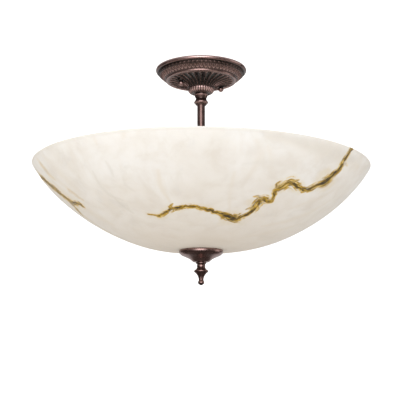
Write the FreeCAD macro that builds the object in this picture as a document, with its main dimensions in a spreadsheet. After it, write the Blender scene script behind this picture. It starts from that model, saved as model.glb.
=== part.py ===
import FreeCAD, Part
import math
import os
import Sketcher
from FreeCAD import Placement, Rotation, Vector

# Semi flush ceiling light with a 20 inch glass bowl. Millimetres, +Z up.
# The origin is the centre of the ceiling plane, X runs along the crossbar, and
# everything hangs below z = 0, so depths are measured downwards from there.

os.makedirs("parts", exist_ok=True)
doc = FreeCAD.newDocument("CeilingLight")
sheet = doc.addObject("Spreadsheet::Sheet", "Dims")
sheet.Label = "Dimensions"

# Driving dimensions: alias, value, meaning.
DIMENSIONS = [
    # crossbar and its hardware
    ("barLength", 101.6, "crossbar length"),
    ("barWidth", 19.0, "crossbar width"),
    ("barThick", 2.0, "crossbar thickness"),
    ("slotPitch", 88.9, "distance between the outlet box screws"),
    ("slotWidth", 5.0, "width of the crossbar slots"),
    ("slotLength", 8.0, "end to end length of the crossbar slots"),
    ("studPitch", 69.85, "distance between the canopy studs"),
    ("studRadius", 2.08, "8-32 stud"),
    ("studHoleRadius", 2.13, "tapped stud hole in the crossbar"),
    ("centreHoleRadius", 4.95, "1/8 pipe tapped hole in the crossbar"),
    ("groundScrewOffset", 20.0, "ground screw from the centre"),
    ("groundScrewRadius", 2.4, "10-32 screw"),
    # canopy
    ("canopyRadius", 69.9, "outside radius of the canopy lip"),
    ("canopyDepth", 39.0, "canopy height"),
    ("canopyWall", 1.8, "canopy wall"),
    ("padDepth", 22.9, "flat of the stud pads below the ceiling"),
    ("padRadius", 4.9, "stud pad radius"),
    ("ballRadius", 4.3, "ball nut radius"),
    ("ballDepth", 26.7, "ball nut centre below the ceiling"),
    ("washerThick", 0.7, "ball nut washer"),
    # stem
    ("pipeRadius", 4.85, "1/8 pipe nipple and rod"),
    ("pipeBore", 3.3, "nipple bore radius"),
    ("pipeHole", 5.05, "hole for the nipple"),
    ("stemRadius", 5.95, "stem tube"),
    ("stemBore", 5.05, "stem tube bore radius"),
    ("collarTop", 39.05, "top of the collar below the ceiling"),
    ("collarEnd", 57.7, "bottom of the collar below the ceiling"),
    ("stemTop", 53.7, "top of the stem below the ceiling"),
    ("nutRadius", 8.25, "circumscribed radius of a 1/8 pipe hex nut"),
    ("nutThick", 3.4, "1/8 pipe hex nut"),
    # bowl
    ("rimDepth", 158.0, "bowl rim below the ceiling"),
    ("bowlRadius", 254.0, "bowl rim radius, 20 inch bowl"),
    ("bowlDrop", 124.4, "rim to the outside of the bowl bottom"),
    ("bowlWall", 5.0, "bowl glass"),
    ("bowlHole", 6.0, "hole radius in the bowl bottom"),
    ("flatRadius", 36.0, "flat of the bowl bottom"),
    # hub
    ("hubRadius", 24.0, "hub body radius"),
    ("hubWall", 1.4, "hub body wall"),
    ("hubTop", 174.5, "top edge of the hub body below the ceiling"),
    ("hubEnd", 209.0, "bottom of the hub body below the ceiling"),
    ("coverTop", 167.0, "top of the hub cover below the ceiling"),
    ("coverWall", 1.2, "hub cover wall"),
    ("armDepth", 194.0, "socket axes below the ceiling"),
    # sockets and bulbs, measured along the socket axis from the hub axis
    ("socketStart", 27.1, "back of the socket body"),
    ("socketEnd", 66.0, "mouth of the socket body"),
    ("socketRadius", 17.5, "socket body radius"),
    ("shellRadius", 14.4, "screw shell outside radius"),
    ("shellBore", 13.65, "screw shell bore radius"),
    ("baseRadius", 13.2, "E26 bulb base radius"),
    ("bulbRadius", 30.0, "A19 bulb radius"),
    ("bulbEnd", 153.0, "end of the bulb"),
    # rod and bowl hardware
    ("rodTop", 200.5, "top of the rod below the ceiling"),
    ("rodEnd", 310.0, "end of the rod below the ceiling"),
    ("gasketThick", 1.5, "gaskets on the bowl"),
    ("ringRadius", 25.0, "inner check ring"),
    ("capRadius", 32.9, "bottom cap radius"),
    ("finialRadius", 10.7, "finial disc radius"),
    ("finialEnd", 334.8, "tip of the finial below the ceiling"),
    # leads
    ("wireRadius", 1.05, "insulated lead"),
]
VALUES = {}
for row, (alias, value, meaning) in enumerate(DIMENSIONS, start=1):
    sheet.set("A%d" % row, meaning)
    sheet.set("B%d" % row, str(value))
    sheet.setAlias("B%d" % row, alias)
    VALUES[alias] = float(value)
doc.recompute()


class Length:
    """A size with its value and the sheet expression that it is bound to."""

    def __init__(self, value, text):
        self.v = float(value)
        self.t = text

    def __add__(self, other):
        other = size(other)
        return Length(self.v + other.v, "(%s + %s)" % (self.t, other.t))

    def __radd__(self, other):
        return size(other) + self

    def __sub__(self, other):
        other = size(other)
        return Length(self.v - other.v, "(%s - %s)" % (self.t, other.t))

    def __rsub__(self, other):
        return size(other) - self

    def __mul__(self, other):
        other = size(other)
        return Length(self.v * other.v, "(%s * %s)" % (self.t, other.t))

    def __rmul__(self, other):
        return size(other) * self

    def __neg__(self):
        return Length(-self.v, "(0 - %s)" % self.t)

    def root(self):
        return Length(math.sqrt(self.v), "sqrt(%s)" % self.t)


def size(value):
    if isinstance(value, Length):
        return value
    return Length(value, "%.6f" % float(value))


def dim(alias):
    return Length(VALUES[alias], "Dims." + alias)


def bind(obj, prop, value):
    """Give a property its starting value from the sheet expression."""
    obj.setExpression(prop, size(value).t)


# ---------------------------------------------------------------- bodies

NODES = []


def new_body(label):
    body = doc.addObject("PartDesign::Body", "Body_" + label)
    body.Label = label
    NODES.append(body)
    return body


def origin_plane(body, role):
    for feature in body.Origin.OriginFeatures:
        if feature.Role == role:
            return feature
    raise ValueError(role)


def new_sketch(body, name, role, lift=None):
    sketch = body.newObject("Sketcher::SketchObject", name)
    sketch.AttachmentSupport = [(origin_plane(body, role), "")]
    sketch.MapMode = "FlatFace"
    if lift is not None:
        sketch.AttachmentOffset = Placement(Vector(0, 0, size(lift).v), Rotation())
        bind(sketch, "AttachmentOffset.Base.z", lift)
    return sketch


def pin_point(sketch, geo, pos, x, y, tag):
    """Fix one sketch point by its two coordinates."""
    for axis, value, kind, line in (("x", x, "DistanceX", -2), ("y", y, "DistanceY", -1)):
        value = size(value)
        if abs(value.v) < 1e-9:
            sketch.addConstraint(Sketcher.Constraint("PointOnObject", geo, pos, line))
            continue
        index = sketch.addConstraint(Sketcher.Constraint(kind, -1, 1, geo, pos, value.v))
        name = "%s_%s" % (tag, axis)
        sketch.renameConstraint(index, name)
        sketch.setExpression("Constraints." + name, value.t)


def outline(sketch, points, arcs=None):
    """Closed outline of straight edges and arcs. arcs maps an edge's number
    to (radius, side): side +1 bulges to the right of the edge, -1 to the left."""
    arcs = arcs or {}
    count = len(points)
    points = [(size(x), size(y)) for x, y in points]
    heads, tails = [], []
    for i in range(count):
        ax, ay = points[i][0].v, points[i][1].v
        bx, by = points[(i + 1) % count][0].v, points[(i + 1) % count][1].v
        if i not in arcs:
            geo = sketch.addGeometry(
                Part.LineSegment(Vector(ax, ay, 0), Vector(bx, by, 0)), False
            )
            heads.append((geo, 1))
            tails.append((geo, 2))
            continue
        radius, side = arcs[i]
        r = size(radius).v
        chord = math.hypot(bx - ax, by - ay)
        nx, ny = (by - ay) / chord, -(bx - ax) / chord  # to the right of the edge
        back = math.sqrt(max(r * r - chord * chord / 4, 0.0))
        cx = (ax + bx) / 2 - side * nx * back
        cy = (ay + by) / 2 - side * ny * back
        start = math.atan2(ay - cy, ax - cx)
        stop = math.atan2(by - cy, bx - cx)
        circle = Part.Circle(Vector(cx, cy, 0), Vector(0, 0, 1), r)
        if side > 0:
            geo = sketch.addGeometry(Part.ArcOfCircle(circle, start, stop), False)
            heads.append((geo, 1))
            tails.append((geo, 2))
        else:
            geo = sketch.addGeometry(Part.ArcOfCircle(circle, stop, start), False)
            heads.append((geo, 2))
            tails.append((geo, 1))
    for i in range(count):
        tail, head = tails[i], heads[(i + 1) % count]
        sketch.addConstraint(
            Sketcher.Constraint("Coincident", tail[0], tail[1], head[0], head[1])
        )
    for i in range(count):
        pin_point(sketch, heads[i][0], heads[i][1], points[i][0], points[i][1], "p%d" % i)
    for i, (radius, side) in arcs.items():
        index = sketch.addConstraint(
            Sketcher.Constraint("Radius", heads[i][0], size(radius).v)
        )
        sketch.renameConstraint(index, "arc%d" % i)
        sketch.setExpression("Constraints.arc%d" % i, size(radius).t)


def circles(sketch, rings):
    for i, (x, y, radius) in enumerate(rings):
        x, y, radius = size(x), size(y), size(radius)
        geo = sketch.addGeometry(
            Part.Circle(Vector(x.v, y.v, 0), Vector(0, 0, 1), radius.v), False
        )
        pin_point(sketch, geo, 3, x, y, "c%d" % i)
        index = sketch.addConstraint(Sketcher.Constraint("Radius", geo, radius.v))
        sketch.renameConstraint(index, "ring%d" % i)
        sketch.setExpression("Constraints.ring%d" % i, radius.t)


def turned(label, points, arcs=None, low=None, place=None, angle=None):
    """A turned or spun piece: an outline of (radius, height) swept round Z.
    Heights are absolute; the body's own frame starts at the height `low`.
    With an angle the piece's Z axis lies level, pointing outwards from the hub."""
    points = [(size(r), size(z)) for r, z in points]
    low = size(low) if low is not None else min((z for r, z in points), key=lambda q: q.v)
    body = new_body(label)
    sketch = new_sketch(body, label + "_profile", "XZ_Plane")
    outline(sketch, [(r, z - low) for r, z in points], arcs)
    spin = body.newObject("PartDesign::Revolution", label + "_turned")
    spin.Profile = sketch
    spin.ReferenceAxis = (sketch, ["V_Axis"])
    spin.Angle = 360.0
    sketch.Visibility = False
    if angle is None:
        x, y = place or (0.0, 0.0)
        body.Placement = Placement(Vector(size(x).v, size(y).v, low.v), Rotation())
        bind(body, "Placement.Base.x", x)
        bind(body, "Placement.Base.y", y)
        bind(body, "Placement.Base.z", low)
    else:
        level(body, angle, low)
    return body


def level(obj, angle, along=0.0, aside=0.0, depth=None):
    """Lay an object's own Z axis level at an angle round the hub axis."""
    turn = Rotation(Vector(0, 0, 1), angle) * Rotation(Vector(0, 1, 0), 90)
    c, s = math.cos(math.radians(angle)), math.sin(math.radians(angle))
    along, aside = size(along), size(aside)
    depth = depth if depth is not None else dim("armDepth")
    set_down(obj, along * c - aside * s, along * s + aside * c, -depth, turn)


def pad(body, name, sketch, length, reverse=False):
    feature = body.newObject("PartDesign::Pad", name)
    feature.Profile = sketch
    feature.Length = size(length).v
    feature.Reversed = reverse
    bind(feature, "Length", length)
    sketch.Visibility = False
    return feature


def pocket(body, name, sketch, length, reverse=False):
    """Cut the sketch's outline away and make sure that something was cut."""
    doc.recompute()
    before = body.Shape.Volume
    feature = body.newObject("PartDesign::Pocket", name)
    feature.Profile = sketch
    feature.Length = size(length).v
    feature.Reversed = reverse
    bind(feature, "Length", length)
    sketch.Visibility = False
    doc.recompute()
    if not body.Shape.Volume < before - 0.01:
        raise ValueError(name + " cuts nothing")
    return feature


# ------------------------------------------------- simple turned solids

def rod_solid(name, radius, length):
    rod = doc.addObject("Part::Cylinder", name)
    rod.Radius = size(radius).v
    rod.Height = size(length).v
    bind(rod, "Radius", radius)
    bind(rod, "Height", length)
    return rod


def hex_solid(name, circum, length):
    prism = doc.addObject("Part::Prism", name)
    prism.Polygon = 6
    prism.Circumradius = size(circum).v
    prism.Height = size(length).v
    bind(prism, "Circumradius", circum)
    bind(prism, "Height", length)
    return prism


def cut(name, base, tool):
    feature = doc.addObject("Part::Cut", name)
    feature.Base = base
    feature.Tool = tool
    return feature


def fuse(name, *shapes):
    feature = doc.addObject("Part::MultiFuse", name)
    feature.Shapes = list(shapes)
    return feature


def set_down(obj, x, y, z, rotation=None):
    x, y, z = size(x), size(y), size(z)
    obj.Placement = Placement(Vector(x.v, y.v, z.v), rotation or Rotation())
    bind(obj, "Placement.Base.x", x)
    bind(obj, "Placement.Base.y", y)
    bind(obj, "Placement.Base.z", z)
    return obj


def nut(name, circum, length, hole):
    """A hex nut with its flats chamfered into a circle at both ends."""
    prism = hex_solid(name + "_prism", circum, length)
    bore = rod_solid(name + "_hole", hole, length)
    blank = cut(name + "_blank", prism, bore)
    length, circum = size(length), size(circum)
    rim = doc.addObject("Part::Cone", name + "_rim")
    rim.Radius1 = (circum * 0.95).v
    rim.Radius2 = (circum * 0.95 + length).v
    rim.Height = length.v
    bind(rim, "Radius1", circum * 0.95)
    bind(rim, "Radius2", circum * 0.95 + length)
    bind(rim, "Height", length)
    top = doc.addObject("Part::Cone", name + "_top")
    top.Radius1 = (circum * 0.95 + length).v
    top.Radius2 = (circum * 0.95).v
    top.Height = length.v
    bind(top, "Radius1", circum * 0.95 + length)
    bind(top, "Radius2", circum * 0.95)
    bind(top, "Height", length)
    feature = doc.addObject("Part::MultiCommon", name)
    feature.Shapes = [blank, rim, top]
    return feature


def washer(name, outside, hole, thick):
    disc = rod_solid(name + "_disc", outside, thick)
    bore = rod_solid(name + "_hole", hole, thick)
    return cut(name, disc, bore)


def keep(obj, label):
    obj.Label = label
    NODES.append(obj)
    return obj


def group(label, members):
    """Identical small pieces that share one node as separate solids."""
    feature = doc.addObject("Part::Compound", "Group_" + label)
    feature.Links = members
    return keep(feature, label)


# ---------------------------------------------------------------- crossbar

bar = new_body("crossbar")
sketch = new_sketch(bar, "crossbar_outline", "XY_Plane")
half_l, half_w = dim("barLength") * 0.5, dim("barWidth") * 0.5
outline(sketch, [(-half_l, -half_w), (half_l, -half_w), (half_l, half_w), (-half_l, half_w)])
strap = pad(bar, "crossbar_strap", sketch, dim("barThick"))
doc.recompute()
corners = []
for i, edge in enumerate(bar.Shape.Edges, start=1):
    a, b = edge.Vertexes[0].Point, edge.Vertexes[-1].Point
    if abs(a.x - b.x) < 1e-6 and abs(a.y - b.y) < 1e-6:
        corners.append("Edge%d" % i)
fillet = bar.newObject("PartDesign::Fillet", "crossbar_corners")
fillet.Base = (strap, corners)
fillet.Radius = 3.0
doc.recompute()

# one slot and one stud hole, mirrored to the other end
sketch = new_sketch(bar, "crossbar_slot", "XY_Plane", dim("barThick"))
mid, run, rad = dim("slotPitch") * 0.5, (dim("slotLength") - dim("slotWidth")) * 0.5, dim("slotWidth") * 0.5
slot_points = [(mid - run, -rad), (mid + run, -rad), (mid + run, rad), (mid - run, rad)]
slot_end = dim("slotWidth") * 0.5 * 1.0001
outline(sketch, slot_points, {1: (slot_end, 1), 3: (slot_end, 1)})
slot_cut = pocket(bar, "crossbar_slot_cut", sketch, dim("barThick"))
sketch = new_sketch(bar, "crossbar_stud_hole", "XY_Plane", dim("barThick"))
circles(sketch, [(dim("studPitch") * 0.5, 0, dim("studHoleRadius"))])
stud_cut = pocket(bar, "crossbar_stud_cut", sketch, dim("barThick"))
mirror = bar.newObject("PartDesign::Mirrored", "crossbar_mirror")
mirror.Originals = [slot_cut, stud_cut]
mirror.MirrorPlane = (origin_plane(bar, "YZ_Plane"), [""])
bar.Tip = mirror
doc.recompute()

# tapped centre hole, and the ground screw's hole
sketch = new_sketch(bar, "crossbar_centre_hole", "XY_Plane", dim("barThick"))
circles(sketch, [(0, 0, dim("centreHoleRadius")),
                 (dim("groundScrewOffset"), 0, dim("groundScrewRadius") + 0.05)])
pocket(bar, "crossbar_centre_cut", sketch, dim("barThick"))
set_down(bar, 0, 0, -dim("barThick"))

# studs with their lock nuts
for side, name in ((-1, "stud_left"), (1, "stud_right")):
    stud = rod_solid("Solid_" + name, dim("studRadius"), dim("ballDepth") + 1.5)
    set_down(stud, dim("studPitch") * (0.5 * side), 0, -dim("ballDepth") - 1.5)
    keep(stud, name)
lock_nuts = []
for side in (-1, 1):
    one = nut("StudNut_%s" % ("a" if side < 0 else "b"), 5.04, 3.2, dim("studRadius") + 0.06)
    set_down(one, dim("studPitch") * (0.5 * side), 0, -dim("barThick") - 3.2)
    lock_nuts.append(one)
group("stud_lock_nuts", lock_nuts)

# ground screw: shank in the bar, domed head below the ring terminal
lug = 0.8
turned("ground_screw", [
    (0, -dim("barThick") - lug - 3.0), (2.6, -dim("barThick") - lug - 3.0),
    (4.3, -dim("barThick") - lug - 2.0), (4.7, -dim("barThick") - lug),
    (dim("groundScrewRadius"), -dim("barThick") - lug),
    (dim("groundScrewRadius"), -0.1), (0, -0.1)],
    {1: (3.2, 1)}, place=(dim("groundScrewOffset"), 0))


def ring_terminal(label, hole, outside, spread, barrel_length, upright=False):
    """Ring tongue with a crimped barrel that points along the tongue, or up."""
    ring = rod_solid(label + "_ring", outside, lug)
    tongue = doc.addObject("Part::Box", label + "_tongue")
    tongue.Length, tongue.Width, tongue.Height = spread, 5.0, lug
    tongue.Placement = Placement(Vector(0, -2.5, 0), Rotation())
    bore = rod_solid(label + "_hole", hole, lug)
    barrel = rod_solid(label + "_barrel", 2.0, barrel_length)
    inside = rod_solid(label + "_inside", dim("wireRadius") + 0.1, barrel_length)
    if upright:
        spot = Placement(Vector(spread - 1.0, 0, lug), Rotation())
        barrel.Placement = Placement(Vector(spread - 1.0, 0, 0), Rotation())
        inside.Placement = spot
    else:
        turn = Rotation(Vector(0, 1, 0), 90)
        barrel.Placement = Placement(Vector(spread - 0.6, 0, -1.2), turn)
        inside.Placement = Placement(Vector(spread + 0.2, 0, -1.2), turn)
    whole = fuse(label + "_whole", ring, tongue, barrel)
    holes = fuse(label + "_holes", bore, inside)
    return cut("Solid_" + label, whole, holes)


ground = ring_terminal("ground_terminal", dim("groundScrewRadius") + 0.1, 4.9, 6.6, 5.0)
set_down(ground, dim("groundScrewOffset"), 0, -dim("barThick") - lug, Rotation(Vector(0, 0, 1), -90))
keep(ground, "ground_terminal")

# ---------------------------------------------------------------- canopy

rim = dim("canopyRadius")
deep = -dim("canopyDepth")
wall = dim("canopyWall")
canopy = turned("canopy", [
    (rim - 4.4, 0), (rim - 5.6, -4.6), (rim - 7.7, -8.3), (rim - 15.3, -14.3),
    (rim - 17.5, -16.6), (rim - 19.6, -17.1), (39.6, deep + 20.2), (31.2, deep + 18.1),
    (24.8, deep + 15.3), (20.4, deep + 12.0), (18.9, deep + 10.2), (18.4, deep + 7.6),
    (17.2, deep + 5.7), (15.7, deep + 3.2), (13.0, deep + wall), (dim("pipeHole"), deep + wall),
    (dim("pipeHole"), deep), (13.5, deep), (17.6, deep + 2.2), (19.0, deep + 5.0),
    (20.5, deep + 7.0), (21.0, deep + 10.0), (22.0, deep + 11.0), (26.0, deep + 13.8),
    (32.0, deep + 16.4), (40.0, deep + 18.4), (rim - 19.4, -19.0), (rim - 16.6, -19.2),
    (rim - 15.2, -17.9), (rim - 14.1, -16.0), (rim - 5.9, -9.5), (rim - 3.7, -5.6),
    (rim - 1.1, -5.2), (rim, -3.4), (rim, -1.6), (rim - 1.6, 0)],
    {17: (5.2, 1), 27: (1.7, 1), 33: (1.6, 1)}, low=deep)
doc.recompute()
# flat pads round the two stud holes
pad_height = dim("canopyDepth") - dim("padDepth")
half_pitch = dim("studPitch") * 0.5
sketch = new_sketch(canopy, "canopy_pads", "XY_Plane", pad_height)
circles(sketch, [(half_pitch, 0, dim("padRadius")), (-half_pitch, 0, dim("padRadius"))])
pad(canopy, "canopy_pad_bosses", sketch, 3.6)
doc.recompute()
sketch = new_sketch(canopy, "canopy_spot_faces", "XY_Plane", pad_height)
circles(sketch, [(half_pitch, 0, dim("padRadius") + 0.05), (-half_pitch, 0, dim("padRadius") + 0.05)])
pocket(canopy, "canopy_spot_face_cut", sketch, 4.0)
sketch = new_sketch(canopy, "canopy_stud_holes", "XY_Plane", pad_height + 8.0)
circles(sketch, [(half_pitch, 0, 2.5), (-half_pitch, 0, 2.5)])
pocket(canopy, "canopy_stud_cut", sketch, 12.0)

# ball nuts and their washers
for side, tail in ((-1, "left"), (1, "right")):
    at = dim("studPitch") * (0.5 * side)
    flat = dim("padDepth") + dim("washerThick")
    ring = washer("Solid_nut_washer_" + tail, 4.2, 2.4, dim("washerThick") - 0.04)
    set_down(ring, at, 0, -flat + 0.02)
    keep(ring, "nut_washer_" + tail)
    reach = dim("ballDepth") - flat
    face = (dim("ballRadius") * dim("ballRadius") - reach * reach).root()
    turned("canopy_nut_" + tail, [
        (0, -dim("ballDepth") - dim("ballRadius")), (dim("ballRadius"), -dim("ballDepth")),
        (face, -flat), (dim("studRadius") + 0.06, -flat),
        (dim("studRadius") + 0.06, -dim("ballDepth") - 1.9), (0, -dim("ballDepth") - 1.9)],
        {0: (dim("ballRadius"), 1), 1: (dim("ballRadius"), 1)}, place=(at, 0))

# nipple through the canopy, with its washer, ring terminal and nut
turned("canopy_nipple", [
    (dim("pipeBore"), -66.0), (dim("pipeRadius"), -66.0),
    (dim("pipeRadius"), -29.0), (dim("pipeBore"), -29.0)])
inside = deep + wall
ring = washer("Solid_nipple_lock_washer", 8.8, dim("pipeHole"), 1.0)
set_down(ring, 0, 0, inside)
keep(ring, "nipple_lock_washer")
flag = ring_terminal("nipple_terminal", dim("pipeHole"), 8.2, 12.5, 6.0, upright=True)
set_down(flag, 0, 0, inside + 1.0, Rotation(Vector(0, 0, 1), -50))
keep(flag, "nipple_terminal")
one = nut("Solid_nipple_hex_nut", dim("nutRadius"), dim("nutThick"), dim("pipeHole"))
set_down(one, 0, 0, inside + 1.0 + lug)
keep(one, "nipple_hex_nut")

# ------------------------------------------------------------ collar, stem

top, end = -dim("collarTop"), -dim("collarEnd")
turned("collar", [
    (dim("pipeHole"), top), (dim("pipeHole"), -dim("stemTop") + 0.1),
    (dim("stemRadius") + 0.15, -dim("stemTop") + 0.1), (dim("stemRadius") + 0.15, end),
    (7.4, end), (8.2, end + 1.6), (10.2, end + 3.2), (10.8, end + 4.8), (10.0, end + 6.4),
    (8.95, end + 8.0), (8.2, end + 9.7), (8.2, end + 11.3), (9.15, end + 12.9),
    (10.3, end + 15.5), (10.7, end + 16.2), (10.7, top - 0.6), (10.2, top)],
    {6: (1.9, 1), 7: (1.9, 1)})
stem_end = dim("rimDepth") + 9.0
turned("stem_tube", [
    (dim("stemBore"), -stem_end), (dim("stemRadius"), -stem_end),
    (dim("stemRadius"), -dim("stemTop")), (dim("stemBore"), -dim("stemTop"))])

# ---------------------------------------------------------------- hub

turned("hub_nipple", [
    (dim("pipeBore"), -dim("coverTop") - 10.0), (dim("pipeRadius"), -dim("coverTop") - 10.0),
    (dim("pipeRadius"), -dim("coverTop") + 15.0), (dim("pipeBore"), -dim("coverTop") + 15.0)])
ct, cw, hr = -dim("coverTop"), dim("coverWall"), dim("hubRadius")
turned("hub_cover", [
    (dim("pipeHole"), ct), (dim("pipeHole"), ct - cw), (9.0, ct - cw),
    (hr - 3.0, ct - cw - 3.4), (hr + 0.25, ct - cw - 5.6), (hr + 0.25, ct - 13.0),
    (hr + 0.25 + cw, ct - 13.0), (hr + 0.25 + cw, ct - 6.2), (hr - 1.6, ct - 3.2), (10.0, ct)],
    {3: (6.0, -1), 7: (6.0, 1)})
one = nut("Solid_hub_top_nut", dim("nutRadius"), dim("nutThick"), dim("pipeHole"))
set_down(one, 0, 0, ct - cw - dim("nutThick"))
keep(one, "hub_top_nut")

ht, he, hw = -dim("hubTop"), -dim("hubEnd"), dim("hubWall")
hub = turned("hub_body", [
    (dim("pipeHole"), he), (hr - 4.0, he), (hr, he + 4.0), (hr, ht), (hr - hw, ht),
    (hr - hw, he + 4.0), (hr - 4.0, he + hw), (dim("pipeHole"), he + hw)],
    {1: (4.0, 1), 5: (dim("hubWall") * -1 + 4.0, -1)}, low=he)
doc.recompute()
# arm holes and cover screw holes, one of each repeated round the hub
sketch = new_sketch(hub, "hub_arm_hole", "XZ_Plane")
circles(sketch, [(0, dim("hubEnd") - dim("armDepth"), dim("pipeHole"))])
arm_cut = pocket(hub, "hub_arm_cut", sketch, 30.0)
sketch = new_sketch(hub, "hub_screw_hole", "XZ_Plane")
circles(sketch, [(0, dim("hubEnd") - dim("coverTop") - 9.6, 1.45)])
screw_cut = pocket(hub, "hub_screw_cut", sketch, 30.0, reverse=True)
pattern = hub.newObject("PartDesign::PolarPattern", "hub_holes")
pattern.Originals = [arm_cut, screw_cut]
pattern.Axis = (origin_plane(hub, "Z_Axis"), [""])
pattern.Angle = 360.0
pattern.Occurrences = 3
hub.Tip = pattern
doc.recompute()

cover = [n for n in NODES if n.Label == "hub_cover"][0]
sketch = new_sketch(cover, "cover_screw_hole", "XZ_Plane")
circles(sketch, [(0, 13.0 - 9.6, 1.45)])
cover_cut = pocket(cover, "cover_screw_cut", sketch, 30.0, reverse=True)
pattern = cover.newObject("PartDesign::PolarPattern", "cover_holes")
pattern.Originals = [cover_cut]
pattern.Axis = (origin_plane(cover, "Z_Axis"), [""])
pattern.Angle = 360.0
pattern.Occurrences = 3
cover.Tip = pattern
doc.recompute()

cover_screws = []
for i, angle in enumerate((30.0, 150.0, 270.0)):
    shank = rod_solid("CoverScrew%d_shank" % i, 1.35, 4.4)
    head = rod_solid("CoverScrew%d_head" % i, 2.7, 1.3)
    head.Placement = Placement(Vector(0, 0, 4.4), Rotation())
    one = fuse("CoverScrew%d" % i, shank, head)
    level(one, angle, dim("hubRadius") - 2.9, depth=dim("coverTop") + 9.6)
    cover_screws.append(one)
group("hub_cover_screws", cover_screws)

# closed splice caps in the hub, mouths upwards
caps = []
for side in (1, -1):
    shell = rod_solid("SpliceCap_%s" % ("hot" if side > 0 else "neutral"), 4.9, 14.0)
    mouth = rod_solid(shell.Name + "_mouth", 3.4, 9.0)
    mouth.Placement = Placement(Vector(0, 0, 5.0), Rotation())
    one = cut(shell.Name + "_cut", shell, mouth)
    set_down(one, 0, 5.4 * side, -dim("armDepth") - 4.0)
    caps.append(one)
group("splice_caps", caps)

# ---------------------------------------------------- arms, sockets, bulbs

ANGLES = (90.0, 210.0, 330.0)
arm_nuts, socket_leads = [], []
for i, angle in enumerate(ANGLES, start=1):
    turned("arm_nipple_%d" % i, [
        (dim("pipeBore"), 15.0), (dim("pipeRadius"), 15.0),
        (dim("pipeRadius"), 36.0), (dim("pipeBore"), 36.0)], angle=angle)
    one = nut("ArmNutInside_%d" % i, dim("nutRadius"), 3.4, dim("pipeHole"))
    level(one, angle, dim("hubRadius") - 6.45)
    arm_nuts.append(one)
    one = nut("ArmNutOutside_%d" % i, dim("nutRadius"), 3.0, dim("pipeHole"))
    level(one, angle, dim("hubRadius") + 0.05)
    arm_nuts.append(one)
    for side in (1, -1):
        one = rod_solid("SocketLead_%d_%s" % (i, "a" if side > 0 else "b"), dim("wireRadius"), 28.5)
        level(one, angle, 11.0, 1.4 * side)
        socket_leads.append(one)
    # porcelain socket body round the nipple's end
    back, mouth, sr = dim("socketStart"), dim("socketEnd"), dim("socketRadius")
    turned("socket_body_%d" % i, [
        (dim("pipeHole"), back), (11.5, back), (12.5, back + 3.9), (sr - 1.0, back + 9.4),
        (sr, back + 13.9), (sr, mouth - 2.0), (sr - 0.8, mouth), (dim("shellRadius") + 0.5, mouth),
        (dim("shellRadius") + 0.5, back + 14.4), (dim("pipeHole"), back + 14.4)],
        {2: (9.0, -1), 3: (9.0, 1), 5: (2.6, 1)}, angle=angle)
    turned("screw_shell_%d" % i, [
        (4.6, back + 14.5), (dim("shellRadius"), back + 14.5), (dim("shellRadius"), mouth - 1.0),
        (dim("shellBore"), mouth - 1.0), (dim("shellBore"), back + 15.2), (4.6, back + 15.2)],
        angle=angle)
    # bent leaf that presses on the bulb's tip
    leaf = new_body("centre_contact_%d" % i)
    sketch = new_sketch(leaf, "leaf_profile_%d" % i, "XZ_Plane", -2.0)
    outline(sketch, [(-3.5, 0), (3.7, 0), (3.7, 1.0), (-1.0, 3.3), (-2.6, 3.3), (-2.6, 2.8),
                     (-1.2, 2.75), (2.9, 0.85), (2.9, 0.5), (-3.5, 0.5)])
    pad(leaf, "leaf_strip_%d" % i, sketch, 4.0)
    level(leaf, angle, back + 14.45)
    # bulb: contact tip, screw base, glass
    turned("bulb_tip_%d" % i, [
        (0, 45.1), (3.2, 45.1), (4.2, 45.9), (4.2, 46.6), (0, 46.6)], angle=angle)
    br = dim("baseRadius")
    turned("bulb_base_%d" % i, [
        (0, 46.65), (6.5, 46.65), (br - 1.6, 49.6), (br, 51.2), (br, 68.6), (br - 0.2, 70.4),
        (br - 0.9, 70.4), (br - 0.9, 52.0), (0, 52.0)], angle=angle)
    gr, ge = dim("bulbRadius"), dim("bulbEnd")
    turned("bulb_glass_%d" % i, [
        (11.1, 60.0), (12.1, 60.0), (12.1, 70.6), (13.6, 73.0), (14.6, 82.0), (18.2, 91.0),
        (25.0, 103.0), (gr, ge - gr), (0, ge), (0, ge - 1.0), (gr - 1.0, ge - gr), (24.1, 103.5),
        (17.3, 91.5), (13.6, 82.3), (12.6, 73.3), (11.1, 70.9)],
        {4: (24.0, -1), 6: (34.0, 1), 7: (gr, 1), 9: (gr - 1.0, -1), 10: (33.0, -1), 12: (25.0, 1)},
        angle=angle)
group("arm_nuts", arm_nuts)
group("socket_leads", socket_leads)

# ---------------------------------------------------- rod and bowl hardware

rod = rod_solid("Solid_lower_rod", dim("pipeRadius"), dim("rodEnd") - dim("rodTop"))
set_down(rod, 0, 0, -dim("rodEnd"))
keep(rod, "lower_rod")
rod_nuts = []
one = nut("RodNut_hub_inside", dim("nutRadius"), dim("nutThick"), dim("pipeHole"))
rod_nuts.append(set_down(one, 0, 0, he + hw))
ring = washer("Solid_rod_lock_washer", 8.8, dim("pipeHole"), 1.0)
set_down(ring, 0, 0, he - 1.0)
keep(ring, "rod_lock_washer")
one = nut("RodNut_hub_below", dim("nutRadius"), dim("nutThick"), dim("pipeHole"))
rod_nuts.append(set_down(one, 0, 0, he - 1.0 - dim("nutThick")))

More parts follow.
